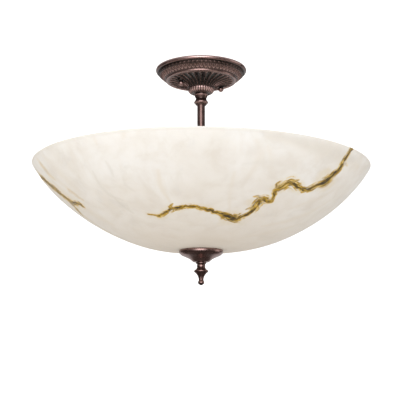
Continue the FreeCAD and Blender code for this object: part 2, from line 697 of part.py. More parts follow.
floor = -dim("rimDepth") - dim("bowlDrop") + dim("bowlWall")
gt = dim("gasketThick")
ring = washer("Solid_inner_gasket", 24.0, 5.4, gt)
set_down(ring, 0, 0, floor + 0.1)
keep(ring, "inner_gasket")
rr, seat = dim("ringRadius"), floor + 0.1 + gt
turned("inner_check_ring", [
    (dim("pipeHole"), seat), (rr - 1.0, seat), (rr, seat + 1.0), (rr, seat + 3.0),
    (rr - 1.2, seat + 3.0), (rr - 1.6, seat + 1.6), (dim("pipeHole"), seat + 1.6)],
    {1: (1.05, 1)})
one = nut("RodNut_check_ring", dim("nutRadius"), dim("nutThick"), dim("pipeHole"))
rod_nuts.append(set_down(one, 0, 0, seat + 1.6))
group("rod_nuts", rod_nuts)

# ---------------------------------------------------------------- bowl

# outside of the glass, from the flat bottom to the rim, as shares of the rim
# radius and the bowl's drop
KNOTS = [(36.0, 124.4), (60.0, 123.2), (90.0, 117.2), (120.0, 107.4), (150.0, 93.7),
         (180.0, 75.2), (205.0, 56.5), (225.0, 38.6), (240.0, 21.9), (250.0, 7.3), (254.0, 1.4)]


def circle_radius(a, b, c):
    area = abs((b[0] - a[0]) * (c[1] - a[1]) - (c[0] - a[0]) * (b[1] - a[1]))
    return math.dist(a, b) * math.dist(b, c) * math.dist(a, c) / (2.0 * area)


def normal_at(i):
    if i == 0:
        return 0.0, 1.0
    before, after = KNOTS[i - 1], KNOTS[min(i + 1, len(KNOTS) - 1)]
    dr, dz = after[0] - before[0], before[1] - after[1]
    return dz / math.hypot(dr, dz), dr / math.hypot(dr, dz)


rb, drop, glass, rimz = dim("bowlRadius"), dim("bowlDrop"), dim("bowlWall"), -dim("rimDepth")
outer, inner = [], []
for i, (r, d) in enumerate(KNOTS):
    nr, nd = normal_at(i)
    outer.append((rb * (r / 254.0), rimz - drop * (d / 124.4)))
    inner.append((rb * (r / 254.0) - glass * nr, rimz - drop * (d / 124.4) + glass * nd))
picks = [0, 2, 4, 6, 8, 10]
points = [(dim("bowlHole"), rimz - drop)] + [outer[i] for i in picks]
arcs = {}
for n, (a, b) in enumerate(zip(picks, picks[1:])):
    radius = circle_radius(KNOTS[a], KNOTS[(a + b) // 2], KNOTS[b])
    arcs[1 + n] = (rb * (radius / 254.0), 1)
# rounded lip: outside edge, top, inside edge
points += [(rb - 1.6, rimz), (rb - 4.6, rimz)]
lip = len(points) - 3
arcs[lip] = (1.7, 1)
inside_picks = picks[:-1]
points += [(rb - 5.6, rimz - 1.0)]
arcs[lip + 2] = (1.5, 1)
start = len(points) - 1
points += [inner[i] for i in reversed(inside_picks)] + [(dim("bowlHole"), rimz - drop + glass)]
for n, (a, b) in enumerate(zip(reversed(picks[1:]), reversed(picks[:-1]))):
    p, q, s = [(v[0].v, v[1].v) for v in (inner[a], inner[(a + b) // 2], inner[b])]
    arcs[start + n] = (rb * (circle_radius(p, q, s) / 254.0), -1)
turned("bowl", points, arcs, low=rimz - drop)

# ---------------------------------------------------- cap, gasket, finial

cr = dim("capRadius")
face = -dim("rimDepth") - dim("bowlDrop") - 0.1
turned("bottom_cap", [
    (cr - 0.9, face), (cr, face - 2.0), (cr - 0.7, face - 5.1), (cr - 1.4, face - 6.4),
    (cr - 4.0, face - 7.9), (cr - 7.0, face - 9.4), (cr - 10.0, face - 10.9),
    (cr - 13.5, face - 12.4), (cr - 15.9, face - 13.9), (cr - 18.6, face - 15.4),
    (cr - 19.9, face - 16.9), (cr - 22.4, face - 17.9), (5.15, face - 17.9),
    (5.15, face - 15.9), (9.0, face - 15.7), (cr - 20.3, face - 13.5), (cr - 17.4, face - 11.8),
    (cr - 14.5, face - 10.3), (cr - 11.3, face - 8.7), (cr - 8.7, face - 7.1),
    (cr - 7.3, face - 5.0), (cr - 7.1, face - gt), (cr - 3.5, face - gt), (cr - 3.5, face)],
    {0: (2.4, -1), 1: (6.0, -1)})
ring = washer("Solid_outer_gasket", dim("capRadius") - 3.7, dim("capRadius") - 6.9, gt)
set_down(ring, 0, 0, face - gt)
keep(ring, "outer_gasket")

fr, tip = dim("finialRadius"), -dim("finialEnd")
bore = dim("pipeRadius") + 0.08
turned("finial", [
    (bore, tip + 34.25), (7.8, tip + 34.25), (7.8, tip + 32.3), (6.0, tip + 31.3),
    (6.25, tip + 28.8), (6.0, tip + 26.4), (6.9, tip + 24.9), (8.6, tip + 23.4),
    (fr - 0.4, tip + 21.9), (fr, tip + 20.6), (fr - 1.0, tip + 18.9), (7.7, tip + 17.4),
    (6.4, tip + 15.8), (4.7, tip + 12.9), (4.3, tip + 11.4), (3.65, tip + 8.4), (3.65, tip + 7.4),
    (4.85, tip + 4.0), (2.75, tip + 0.9), (0, tip), (0, tip + 24.2), (bore, tip + 24.2)],
    {16: (3.6, -1), 17: (4.9, -1)})

# ---------------------------------------------------------------- leads

def path(points):
    """Straight runs joined by tangent arcs."""
    points = [Vector(*p) for p in points]
    edges, radii, at = [], [], points[0]
    for i in range(1, len(points) - 1):
        before, here, after = points[i - 1], points[i], points[i + 1]
        u, w = (here - before), (after - here)
        short = min(u.Length, w.Length)
        u.normalize()
        w.normalize()
        half = u.getAngle(w) / 2.0
        radius = 0.45 * short / math.tan(half)
        reach = 0.45 * short
        first, last = here - u * reach, here + w * reach
        bisect = (w - u)
        bisect.normalize()
        centre = here + bisect * (radius / math.cos(half))
        middle = centre - bisect * radius
        edges.append(Part.LineSegment(at, first).toShape())
        edges.append(Part.Arc(first, middle, last).toShape())
        at = last
        radii.append(radius)
    edges.append(Part.LineSegment(at, points[-1]).toShape())
    return Part.Wire(edges), radii


def lead(label, points, radius):
    wire, radii = path(points)
    heading = Vector(*points[1]) - Vector(*points[0])
    ring = Part.Wire([Part.Circle(Vector(*points[0]), heading, radius).toShape()])
    solid = wire.makePipeShell([ring], True, False)
    want = math.pi * radius * radius * wire.Length
    print("%s: length %.1f mm, arc radii %s, volume %.1f of %.1f" % (
        label, wire.Length, ", ".join("%.1f" % r for r in radii), solid.Volume, want))
    if abs(solid.Volume - want) > 0.01 * want:
        raise ValueError(label)
    feature = doc.addObject("Part::Feature", "Lead_" + label)
    feature.Shape = solid
    feature.Placement = Placement()
    return keep(feature, label)


LEAD = sheet.get("wireRadius")
SPLICE = -sheet.get("armDepth")
STEM = -sheet.get("coverTop")
lead("lead_hot", [(2.5, 33, -10.5), (1.0, 18, -13.5), (0, 1.7, -15), (0, 1.7, STEM - 10.5),
                  (0, 5.2, STEM - 17.5), (0, 5.2, SPLICE + 3.0)], LEAD)
lead("lead_neutral", [(-2.5, -33, -10.5), (-1.0, -18, -13.5), (0, -1.7, -15), (0, -1.7, STEM - 10.5),
                      (0, -5.2, STEM - 17.5), (0, -5.2, SPLICE + 3.0)], LEAD)
turn = math.radians(-50)
reach = 11.5
gx, gy = reach * math.cos(turn), reach * math.sin(turn)
gz = -sheet.get("canopyDepth") + sheet.get("canopyWall") + 1.0 + 3.6
bz = -sheet.get("barThick") - lug - 1.2
lead("ground_lead", [(sheet.get("groundScrewOffset"), -8.0, bz),
                     (sheet.get("groundScrewOffset"), -16.5, bz),
                     (16.0, -21.0, -14.0), (gx, gy, -21.0), (gx, gy, gz)], LEAD)

# moulded connectors at the supply ends of the two leads
connectors = []
for side in (1, -1):
    name = "WireConnector_%s" % ("hot" if side > 0 else "neutral")
    skirt = doc.addObject("Part::Cone", name)
    skirt.Radius1, skirt.Radius2, skirt.Height = 6.0, 4.0, 22.0
    mouth = rod_solid(name + "_mouth", 3.3, 14.0)
    one = cut(name + "_cut", skirt, mouth)
    set_down(one, 2.2 * side, 25.0 * side, -11.0, Rotation(Vector(1, 0, 0), -90.0 * side))
    connectors.append(one)
group("wire_connectors", connectors)

# ---------------------------------------------------------------- write out

doc.recompute()
faults = []
for obj in doc.Objects:
    state = [s for s in obj.State if s in ("Invalid", "Error")]
    if state:
        faults.append("%s %s" % (obj.Label, state))
for obj in doc.Objects:
    if obj.TypeId == "Sketcher::SketchObject" and not obj.FullyConstrained:
        faults.append(obj.Label + " isn't fully constrained")
labels = [node.Label for node in NODES]
if len(set(labels)) != len(labels) or len(labels) > 60:
    faults.append("labels")
for node in NODES:
    shape = node.Shape
    if shape.isNull() or not shape.isValid() or not shape.Solids:
        faults.append(node.Label + " has no valid shape")
if faults:
    for fault in faults:
        print("FAULT", fault)
    raise SystemExit(1)
for node in NODES:
    node.Shape.exportStep("parts/%s.step" % node.Label)
    box = node.Shape.BoundBox
    print("%-20s %2d solid %10.1f mm3  x %.1f..%.1f  y %.1f..%.1f  z %.1f..%.1f" % (
        node.Label, len(node.Shape.Solids), node.Shape.Volume,
        box.XMin, box.XMax, box.YMin, box.YMax, box.ZMin, box.ZMax))
print(len(NODES), "nodes")
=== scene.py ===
import math

import bpy
import numpy as np
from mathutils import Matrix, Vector


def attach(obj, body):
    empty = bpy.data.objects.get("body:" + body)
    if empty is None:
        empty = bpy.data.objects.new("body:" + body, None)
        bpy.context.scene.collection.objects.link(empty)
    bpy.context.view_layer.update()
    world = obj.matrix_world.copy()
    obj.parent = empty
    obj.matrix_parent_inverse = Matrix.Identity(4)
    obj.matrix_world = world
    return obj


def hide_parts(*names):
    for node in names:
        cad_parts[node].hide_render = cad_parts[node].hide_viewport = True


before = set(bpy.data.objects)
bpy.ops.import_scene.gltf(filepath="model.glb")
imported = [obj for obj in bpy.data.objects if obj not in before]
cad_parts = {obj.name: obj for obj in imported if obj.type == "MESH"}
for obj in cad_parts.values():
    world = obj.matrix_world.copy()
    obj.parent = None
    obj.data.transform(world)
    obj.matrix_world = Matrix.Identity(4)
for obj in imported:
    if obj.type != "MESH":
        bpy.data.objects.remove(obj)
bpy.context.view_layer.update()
MM = 0.001
RNG = np.random.default_rng(20)

# ------------------------------------------------------------------ camera

AZIMUTH, PITCH = math.radians(27.8), math.radians(10.437)
camera_data = bpy.data.cameras.new("camera")
camera_data.sensor_width = 36.0
camera_data.lens = 83.3
camera_data.clip_end = 200.0
camera = bpy.data.objects.new("camera", camera_data)
bpy.context.scene.collection.objects.link(camera)
camera.location = (-0.6425, -1.2186, -0.4596)
turn = AZIMUTH - 0.00124
camera.rotation_euler = Vector(
    (
        math.sin(turn) * math.cos(PITCH),
        math.cos(turn) * math.cos(PITCH),
        math.sin(PITCH),
    )
).to_track_quat("-Z", "Y").to_euler()
bpy.context.scene.camera = camera

# ------------------------------------------------------------- mesh helpers


def rounded(knots, step=0.6):
    """A smooth line through the knots. A knot with a third value is a corner."""
    runs, run = [], [tuple(knots[0][:2])]
    for k in knots[1:]:
        run.append(tuple(k[:2]))
        if len(k) > 2:
            runs.append(run)
            run = [tuple(k[:2])]
    if len(run) > 1:
        runs.append(run)
    out = []
    for run in runs:
        p = np.array(run, float)
        h = np.maximum(np.hypot(*np.diff(p, axis=0).T), 1e-6)
        n = len(p)
        m = np.zeros_like(p)
        slope = np.diff(p, axis=0) / h[:, None]
        if n == 2:
            m[:] = slope[0]
        else:
            for i in range(1, n - 1):
                m[i] = (slope[i - 1] * h[i] + slope[i] * h[i - 1]) / (h[i] + h[i - 1])
            m[0] = 1.5 * slope[0] - 0.5 * m[1]
            m[-1] = 1.5 * slope[-1] - 0.5 * m[-2]
        pts = [p[0]]
        for i in range(n - 1):
            count = max(1, int(math.ceil(h[i] / step)))
            if n == 2:
                count = max(1, int(math.ceil(h[i] / (step * 4))))
            for k in range(1, count + 1):
                t = k / count
                a = 2 * t**3 - 3 * t**2 + 1
                b = t**3 - 2 * t**2 + t
                c = -2 * t**3 + 3 * t**2
                d = t**3 - t**2
                pts.append(a * p[i] + b * h[i] * m[i] + c * p[i + 1] + d * h[i] * m[i + 1])
        out.extend(pts if not out else pts[1:])
    return np.array(out)


def normals_of(p, closed):
    if closed:
        t = np.roll(p, -1, 0) - np.roll(p, 1, 0)
    else:
        t = np.gradient(p, axis=0)
    t /= np.maximum(np.hypot(*t.T), 1e-9)[:, None]
    return np.stack([t[:, 1], -t[:, 0]], 1)


def put(name, verts, faces, sharp=38.0, attributes=None, smooth=True):
    """A mesh object from millimetres."""
    v = np.asarray(verts, float)
    f = [tuple(int(i) for i in q) for q in faces] if not isinstance(faces, np.ndarray) else faces.tolist()
    me = bpy.data.meshes.new(name)
    me.from_pydata((v * MM).tolist(), [], f)
    me.update()
    # the faces look outwards
    n = len(me.loop_triangles) if me.calc_loop_triangles() is None else 0
    tri = np.zeros(len(me.loop_triangles) * 3, np.int32)
    me.loop_triangles.foreach_get("vertices", tri)
    tri = tri.reshape(-1, 3)
    w = v - v.mean(0)
    volume = np.einsum("ij,ij->i", w[tri[:, 0]], np.cross(w[tri[:, 1]], w[tri[:, 2]])).sum()
    if volume < 0:
        me.flip_normals()
    for key, values in (attributes or {}).items():
        a = me.attributes.new(key, "FLOAT", "POINT")
        a.data.foreach_set("value", np.asarray(values, np.float32))
    if smooth:
        me.shade_smooth()
        me.set_sharp_from_angle(angle=math.radians(sharp))
    o = bpy.data.objects.new(name, me)
    bpy.context.scene.collection.objects.link(o)
    return o


def arm_frame(angle, depth=-194.0):
    """Maps a turned piece's axis onto a horizontal arm of the light."""
    a = math.radians(angle)
    return (
        np.array([-math.sin(a), math.cos(a), 0.0]),
        np.array([0.0, 0.0, 1.0]),
        np.array([math.cos(a), math.sin(a), 0.0]),
        np.array([0.0, 0.0, depth]),
    )


def turned(name, profile, n=96, closed=False, offset=None, at=(0, 0), arm=None, sharp=38.0, attributes=None):
    """A turned piece. profile is (r, z) in millimetres. offset adds to the radius, row by row and
    angle by angle. An open profile starts and ends on the axis."""
    p = np.asarray(profile, float)
    m = len(p)
    th = np.linspace(0, 2 * math.pi, n, endpoint=False)
    r = p[:, 0][:, None] + (0 if offset is None else offset)
    r = np.broadcast_to(r, (m, n)).copy()
    z = np.broadcast_to(p[:, 1][:, None], (m, n))
    x, y = r * np.cos(th), r * np.sin(th)
    if arm is None:
        v = np.stack([x + at[0], y + at[1], z], -1)
    else:
        ex, ey, ez, o = arm
        v = o + x[..., None] * ex + y[..., None] * ey + z[..., None] * ez
    v = v.reshape(-1, 3)
    # a row on the axis is one vertex, with a fan of triangles round it
    pole = [not closed and i in (0, m - 1) and p[i, 0] < 1e-6 for i in range(m)]
    keep = np.ones(m * n, bool)
    for i in range(m):
        if pole[i]:
            keep[i * n + 1 : (i + 1) * n] = False
    new = np.cumsum(keep) - 1
    faces = []
    j = np.arange(n)
    k = (j + 1) % n
    for i in range(m if closed else m - 1):
        a, b = i * n, ((i + 1) % m) * n
        if pole[i]:
            faces += new[np.stack([np.full(n, a), b + k, b + j], 1)].tolist()
        elif pole[(i + 1) % m]:
            faces += new[np.stack([a + j, a + k, np.full(n, b)], 1)].tolist()
        else:
            faces += new[np.stack([a + j, a + k, b + k, b + j], 1)].tolist()
    v = v[keep]
    atts = {}
    for key, values in (attributes or {}).items():
        values = np.broadcast_to(np.asarray(values, float), (m, n)).reshape(-1)
        atts[key] = values[keep]
    return put(name, v, faces, sharp, atts)


def thread_rows(z0, z1, pitch, per=6):
    return np.linspace(z0, z1, max(3, int(round(abs(z1 - z0) / pitch * per)) + 1))


def thread_wave(z, n, pitch, depth, round_top=False, start=None, stop=None):
    """Radius change of a screw thread at each height and angle, fading out at both ends."""
    th = np.linspace(0, 2 * math.pi, n, endpoint=False)
    ph = (z[:, None] / pitch - th[None, :] / (2 * math.pi)) % 1.0
    tri = 1.0 - np.abs(2 * ph - 1.0)
    if round_top:
        tri = 0.5 - 0.5 * np.cos(2 * math.pi * ph)
    lo, hi = min(z[0], z[-1]), max(z[0], z[-1])
    fade = np.clip(np.minimum(z - lo, hi - z) / (pitch * 0.9), 0, 1)
    return -depth * (1 - tri) * fade[:, None] - depth * 0.9 * (1 - fade[:, None])


def threaded_rod(name, radius, z0, z1, pitch, n=36, bore=None, at=(0, 0), arm=None):
    z = thread_rows(z0, z1, pitch)
    wave = thread_wave(z, n, pitch, pitch * 0.55)
    if bore is None:
        p = [(0.0, z0), (radius * 0.6, z0)] + [(radius, q) for q in z] + [(radius * 0.6, z1), (0.0, z1)]
        off = np.zeros((len(p), n))
        off[2:-2] = wave
        return turned(name, p, n, False, off, at, arm, 50)
    p = [(bore, z0)] + [(radius, q) for q in z] + [(bore, z1)]
    off = np.zeros((len(p), n))
    off[1:-1] = wave
    return turned(name, p, n, True, off, at, arm, 50)


def wire(name, points, radius=1.05, body="root", material=None, replaces=()):
    """A lead: one smooth line along its points."""
    cu = bpy.data.curves.new(name, "CURVE")
    cu.dimensions = "3D"
    sp = cu.splines.new("NURBS")
    sp.points.add(len(points) - 1)
    for q, c in zip(sp.points, points):
        q.co = (c[0] * MM, c[1] * MM, c[2] * MM, 1.0)
    sp.order_u = 3
    sp.use_endpoint_u = True
    sp.resolution_u = 10
    cu.bevel_depth = radius * MM
    cu.bevel_resolution = 4
    cu.use_fill_caps = True
    o = bpy.data.objects.new(name, cu)
    bpy.context.scene.collection.objects.link(o)
    return finish_piece(o, body, material, replaces)


def finish_piece(o, body, material, replaces=()):
    if material is not None:
        o.data.materials.clear()
        o.data.materials.append(material)
    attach(o, body)
    if replaces:
        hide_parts(*replaces)
    return o


def cut_out(o, cutters):
    """Takes the cutters out of a piece."""
    for c in cutters:
        mod = o.modifiers.new("cut", "BOOLEAN")
        mod.operation = "DIFFERENCE"
        mod.object = c
        mod.solver = "EXACT"
    bpy.context.view_layer.update()
    graph = bpy.context.evaluated_depsgraph_get()
    me = bpy.data.meshes.new_from_object(o.evaluated_get(graph), preserve_all_data_layers=True, depsgraph=graph)
    o.modifiers.clear()
    old = o.data
    o.data = me
    me.name = old.name
    bpy.data.meshes.remove(old)
    for c in cutters:
        bpy.data.objects.remove(c)
    return o


# ---------------------------------------------------------------- materials


def new_material(name):
    m = bpy.data.materials.new(name)
    m.use_nodes = True
    m.node_tree.nodes.clear()
    return m


def add(m, kind, inputs=None, **attrs):
    node = m.node_tree.nodes.new(kind)
    for k, v in attrs.items():
        setattr(node, k, v)
    for k, v in (inputs or {}).items():
        s = node.inputs[k]
        if isinstance(v, bpy.types.NodeSocket):
            m.node_tree.links.new(v, s)
        else:
            s.default_value = v
    return node


def place(m):
    return add(m, "ShaderNodeTexCoord").outputs["Object"]


def noise(m, vector, scale, detail=3.0, rough=0.5, distortion=0.0):
    return add(
        m,
        "ShaderNodeTexNoise",
        {"Vector": vector, "Scale": scale, "Detail": detail, "Roughness": rough, "Distortion": distortion},
    ).outputs[0]


def ramp(m, factor, stops, mode="LINEAR"):
    node = add(m, "ShaderNodeValToRGB", {0: factor})
    cr = node.color_ramp
    cr.interpolation = mode
    while len(cr.elements) < len(stops):
        cr.elements.new(0.5)
    for e, (pos, col) in zip(cr.elements, stops):
        e.position = pos
        e.color = (*col, 1.0) if len(col) == 3 else col
    return node.outputs[0]


def span(m, value, a, b, lo=0.0, hi=1.0, kind="LINEAR"):
    return add(
        m,
        "ShaderNodeMapRange",
        {"Value": value, "From Min": a, "From Max": b, "To Min": lo, "To Max": hi},
        interpolation_type=kind,
    ).outputs[0]


def calc(m, op, a, b=None):
    n = add(m, "ShaderNodeMath", operation=op)
    for i, v in enumerate((a, b)):
        if v is None:
            continue
        if isinstance(v, bpy.types.NodeSocket):
            m.node_tree.links.new(v, n.inputs[i])
        else:
            n.inputs[i].default_value = v
    return n.outputs[0]


def blend(m, factor, a, b, kind="MIX"):
    n = add(m, "ShaderNodeMix", data_type="RGBA", blend_type=kind)
    for i, v in ((0, factor), (6, a), (7, b)):
        if isinstance(v, bpy.types.NodeSocket):
            m.node_tree.links.new(v, n.inputs[i])
        elif i == 0:
            n.inputs[i].default_value = v
        else:
            n.inputs[i].default_value = (*v, 1.0)
    return n.outputs[2]


def bump(m, height, strength, distance):
    return add(
        m, "ShaderNodeBump", {"Height": height, "Strength": strength, "Distance": distance}
    ).outputs[0]


def shader(m, **inputs):
    names = {
        "color": "Base Color",
        "metallic": "Metallic",
        "rough": "Roughness",
        "normal": "Normal",
        "coat": "Coat Weight",
        "coat_rough": "Coat Roughness",
        "ior": "IOR",
        "spec": "Specular IOR Level",
        "sss": "Subsurface Weight",
        "sss_radius": "Subsurface Radius",
        "sss_scale": "Subsurface Scale",
        "sheen": "Sheen Weight",
        "emission": "Emission Color",
        "emission_strength": "Emission Strength",
    }
    vals = {}
    for k, v in inputs.items():
        if k == "color" and not isinstance(v, bpy.types.NodeSocket):
            v = (*v, 1.0)
        vals[names[k]] = v
    b = add(m, "ShaderNodeBsdfPrincipled", vals)
    out = add(m, "ShaderNodeOutputMaterial")
    m.node_tree.links.new(b.outputs[0], out.inputs[0])
    return m


def bronze(name, light=1.0, worn=0.5):
    """Dark antique bronze: brown patina, copper where it is rubbed, faint wear spots, and painted highlights and
    painted shade carried by the rub attribute.
    """
    m = new_material(name)
    at = place(m)
    # the rub attribute lightens the bronze where it is rubbed and as painted highlight, and darkens it as painted shade
    rub_and_painted_light = add(m, "ShaderNodeAttribute", attribute_name="rub_and_painted_light").outputs["Fac"]
    cloud = noise(m, at, 55.0, 4.0, 0.6)
    fine = noise(m, at, 420.0, 3.0, 0.6)
    speck = noise(m, at, 1400.0, 2.0, 0.7)
    mix = calc(m, "ADD", span(m, cloud, 0.3, 0.7, -0.12, 0.12), span(m, fine, 0.3, 0.7, -0.05, 0.05))
    tone = calc(m, "ADD", mix, calc(m, "MULTIPLY", rub_and_painted_light, 0.75))
    tone = calc(m, "ADD", tone, worn)
    color = ramp(
        m,
        span(m, tone, -0.35, 1.2),
        [
            (0.0, (0.012 * light, 0.0075 * light, 0.006 * light)),
            (0.28, (0.062 * light, 0.036 * light, 0.030 * light)),
            (0.56, (0.190 * light, 0.110 * light, 0.098 * light)),
            (1.0, (0.60 * light, 0.400 * light, 0.375 * light)),
        ],
    )
    color = blend(m, span(m, speck, 0.62, 0.80, 0.0, 0.14), color, (0.045, 0.028, 0.022))
    rough = span(m, calc(m, "ADD", cloud, calc(m, "MULTIPLY", fine, 0.4)), 0.5, 0.9, 0.23, 0.33)
    normal = bump(m, calc(m, "ADD", fine, calc(m, "MULTIPLY", speck, 0.3)), 0.03, 0.00008)
    return shader(m, color=color, metallic=0.93, rough=rough, normal=normal, coat=0.30, coat_rough=0.16)


def metal(name, colors, rough=(0.25, 0.42), scale=160.0, grain=0.15, metallic=1.0):
    m = new_material(name)
    at = place(m)
    a = noise(m, at, scale * 0.25, 4.0, 0.6)
    b = noise(m, at, scale * 3.0, 3.0, 0.6)
    color = ramp(m, a, [(0.28, colors[0]), (0.5, colors[1]), (0.72, colors[2])])
    color = blend(m, span(m, b, 0.62, 0.8, 0.0, 0.4), color, tuple(c * 0.45 for c in colors[0]))
    r = span(m, calc(m, "ADD", a, b), 0.75, 1.25, rough[0], rough[1])
    return shader(m, color=color, metallic=metallic, rough=r, normal=bump(m, b, grain, 0.0001))


def plastic(name, colors, rough=(0.35, 0.5), coat=0.0, scale=300.0, grain=0.12, sss=0.0):
    m = new_material(name)
    at = place(m)
    a = noise(m, at, scale * 0.2, 3.0, 0.5)
    b = noise(m, at, scale * 4.0, 3.0, 0.6)
    color = ramp(m, a, [(0.3, colors[0]), (0.7, colors[1])])
    color = blend(m, span(m, b, 0.35, 0.75, 0.0, 0.25), color, tuple(c * 0.7 for c in colors[0]))
    r = span(m, b, 0.35, 0.65, rough[0], rough[1])
    extra = {"coat": coat, "coat_rough": 0.08} if coat else {}
    if sss:
        extra.update(sss=sss, sss_radius=(0.004, 0.003, 0.002), sss_scale=1.0)
    return shader(m, color=color, rough=r, normal=bump(m, b, grain, 0.00008), **extra)


def marble():
    """Cloudy ivory glass with golden brown veins."""
    m = new_material("marbled_glass")
    at = place(m)
    flat = add(m, "ShaderNodeMapping", {0: at, 3: (1.0, 1.0, 0.85)}).outputs[0]
    warp = add(m, "ShaderNodeTexNoise", {"Vector": at, "Scale": 11.0, "Detail": 1.0})
    moved = add(m, "ShaderNodeVectorMath", operation="MULTIPLY_ADD")
    m.node_tree.links.new(warp.outputs[1], moved.inputs[0])
    moved.inputs[1].default_value = (0.05, 0.05, 0.03)
    m.node_tree.links.new(flat, moved.inputs[2])
    big = noise(m, moved.outputs[0], 15.0, 2.5, 0.5, 0.2)
    mid = noise(m, moved.outputs[0], 38.0, 3.0, 0.55, 0.3)
    cool = noise(m, flat, 24.0, 3.5, 0.6, 0.5)
    small = noise(m, at, 120.0, 3.0, 0.55, 0.2)
    streak = noise(m, add(m, "ShaderNodeMapping", {0: at, 3: (9.0, 9.0, 70.0)}).outputs[0], 1.0, 3.0, 0.6, 0.6)
    body = ramp(
        m,
        big,
        [
            (0.28, (0.886, 0.862, 0.820)),
            (0.45, (0.925, 0.911, 0.884)),
            (0.60, (0.944, 0.938, 0.922)),
            (0.78, (0.955, 0.952, 0.942)),
        ],
    )
    puffs = ramp(m, mid, [(0.32, (0.905, 0.882, 0.850)), (0.50, (0.972, 0.965, 0.952)), (0.66, (1.0, 1.0, 0.998))])
    body = blend(m, 0.75, body, puffs, "MULTIPLY")
    body = blend(m, span(m, cool, 0.56, 0.74, 0.0, 0.32, "SMOOTHSTEP"), body, (0.78, 0.775, 0.765))
    body = blend(m, span(m, streak, 0.54, 0.74, 0.0, 0.10, "SMOOTHSTEP"), body, (0.70, 0.66, 0.61))
    body = blend(m, span(m, small, 0.52, 0.74, 0.0, 0.08), body, (0.80, 0.74, 0.66))
    # thin wisps, and the listed smears
    wisp_noise = noise(m, moved.outputs[0], 21.0, 4.0, 0.62, 0.4)
    ridge = span(m, calc(m, "ABSOLUTE", calc(m, "SUBTRACT", wisp_noise, 0.5)), 0.0, 0.045, 1.0, 0.0, "SMOOTHSTEP")
    body = blend(m, calc(m, "MULTIPLY", ridge, span(m, cool, 0.42, 0.64, 0.0, 0.16)), body, (0.75, 0.715, 0.65))
    torn = span(m, mid, 0.32, 0.62, 0.35, 1.0)
    warm = add(m, "ShaderNodeAttribute", attribute_name="warm").outputs["Fac"]
    chill = add(m, "ShaderNodeAttribute", attribute_name="cool").outputs["Fac"]
    body = blend(m, calc(m, "MULTIPLY", calc(m, "MULTIPLY", warm, torn), 0.46), body, (0.80, 0.715, 0.585))
    body = blend(m, calc(m, "MULTIPLY", calc(m, "MULTIPLY", chill, torn), 0.46), body, (0.71, 0.69, 0.64))
    # painted shade: warmer and darker towards the bottom, where the bowl faces down
    low = add(m, "ShaderNodeAttribute", attribute_name="low").outputs["Fac"]
    body = blend(m, calc(m, "MULTIPLY", low, 0.50), body, (0.86, 0.775, 0.665))
    # veins: strands that run along each vein, gold outside, olive and brown inside
    q = add(m, "ShaderNodeAttribute", attribute_name="vein").outputs["Fac"]
    dark = add(m, "ShaderNodeAttribute", attribute_name="vein_dark").outputs["Fac"]
    fade = add(m, "ShaderNodeAttribute", attribute_name="vein_fade").outputs["Fac"]
    along = add(m, "ShaderNodeAttribute", attribute_name="vein_along").outputs["Fac"]
    across = add(m, "ShaderNodeAttribute", attribute_name="vein_across").outputs["Fac"]
    lean = calc(m, "ADD", along, calc(m, "MULTIPLY", across, 0.6))
    coarse = add(m, "ShaderNodeCombineXYZ", {0: calc(m, "MULTIPLY", along, 0.060), 1: calc(m, "MULTIPLY", across, 0.34), 2: 0.3})
    fine = add(m, "ShaderNodeCombineXYZ", {0: calc(m, "MULTIPLY", lean, 0.085), 1: calc(m, "MULTIPLY", across, 0.52), 2: 4.0})
    strand = noise(m, coarse.outputs[0], 1.0, 3.0, 0.6, 0.3)
    thread = noise(m, fine.outputs[0], 1.0, 3.0, 0.65, 0.4)
    rag = noise(m, at, 420.0, 3.0, 0.65, 0.8)
    # seen from inside the bowl the vein glows through the glass, without its dark heart
    inside = add(m, "ShaderNodeAttribute", attribute_name="inside").outputs["Fac"]
    calm = span(m, inside, 0.0, 1.0, 1.0, 0.4)
    ragged = calc(m, "ADD", q, calc(m, "MULTIPLY", calm, calc(m, "ADD", span(m, strand, 0.32, 0.68, -0.38, 0.38), calc(m, "MULTIPLY", span(m, thread, 0.34, 0.66, -1.0, 1.0), span(m, dark, 0.2, 0.9, 0.50, 0.28)))))
    ragged = calc(m, "ADD", ragged, span(m, rag, 0.3, 0.7, -0.10, 0.10))
    edge = span(m, ragged, 0.78, 1.14, 1.0, 0.0, "SMOOTHSTEP")
    core = span(m, calc(m, "ADD", q, span(m, thread, 0.3, 0.7, 0.30, -0.30)), 0.15, 0.80, 1.0, 0.0, "SMOOTHSTEP")
    core = calc(m, "MULTIPLY", core, dark)
    tone = calc(m, "SUBTRACT", calc(m, "ADD", span(m, thread, 0.64, 0.36, 0.10, 1.02), span(m, rag, 0.3, 0.7, -0.16, 0.16)), calc(m, "MULTIPLY", core, 0.54))
    tone = calc(m, "ADD", calc(m, "MULTIPLY", tone, span(m, inside, 0.0, 1.0, 1.0, 0.32)), calc(m, "MULTIPLY", inside, 0.42))
    vein = ramp(
        m,
        tone,
        [
            (0.00, (0.070, 0.058, 0.034)),
            (0.18, (0.130, 0.095, 0.042)),
            (0.34, (0.270, 0.155, 0.024)),
            (0.54, (0.560, 0.345, 0.040)),
            (0.78, (0.740, 0.510, 0.110)),
            (1.00, (0.860, 0.720, 0.400)),
        ],
    )
    halo = span(m, calc(m, "ADD", q, span(m, mid, 0.3, 0.7, -0.8, 0.8)), 0.9, 2.4, 0.26, 0.0, "SMOOTHSTEP")
    body = blend(m, calc(m, "MULTIPLY", halo, fade), body, (0.84, 0.71, 0.44))
    color = blend(m, calc(m, "MULTIPLY", edge, fade), body, vein)
    rough = span(m, mid, 0.3, 0.7, 0.42, 0.52)
    normal = bump(m, calc(m, "ADD", small, calc(m, "MULTIPLY", edge, -0.6)), 0.05, 0.0004)
    return shader(
        m,
        color=color,
        rough=rough,
        normal=normal,
        spec=0.35,
        sss=0.10,
        sss_radius=(0.0022, 0.002, 0.0017),
        sss_scale=1.0,
    )


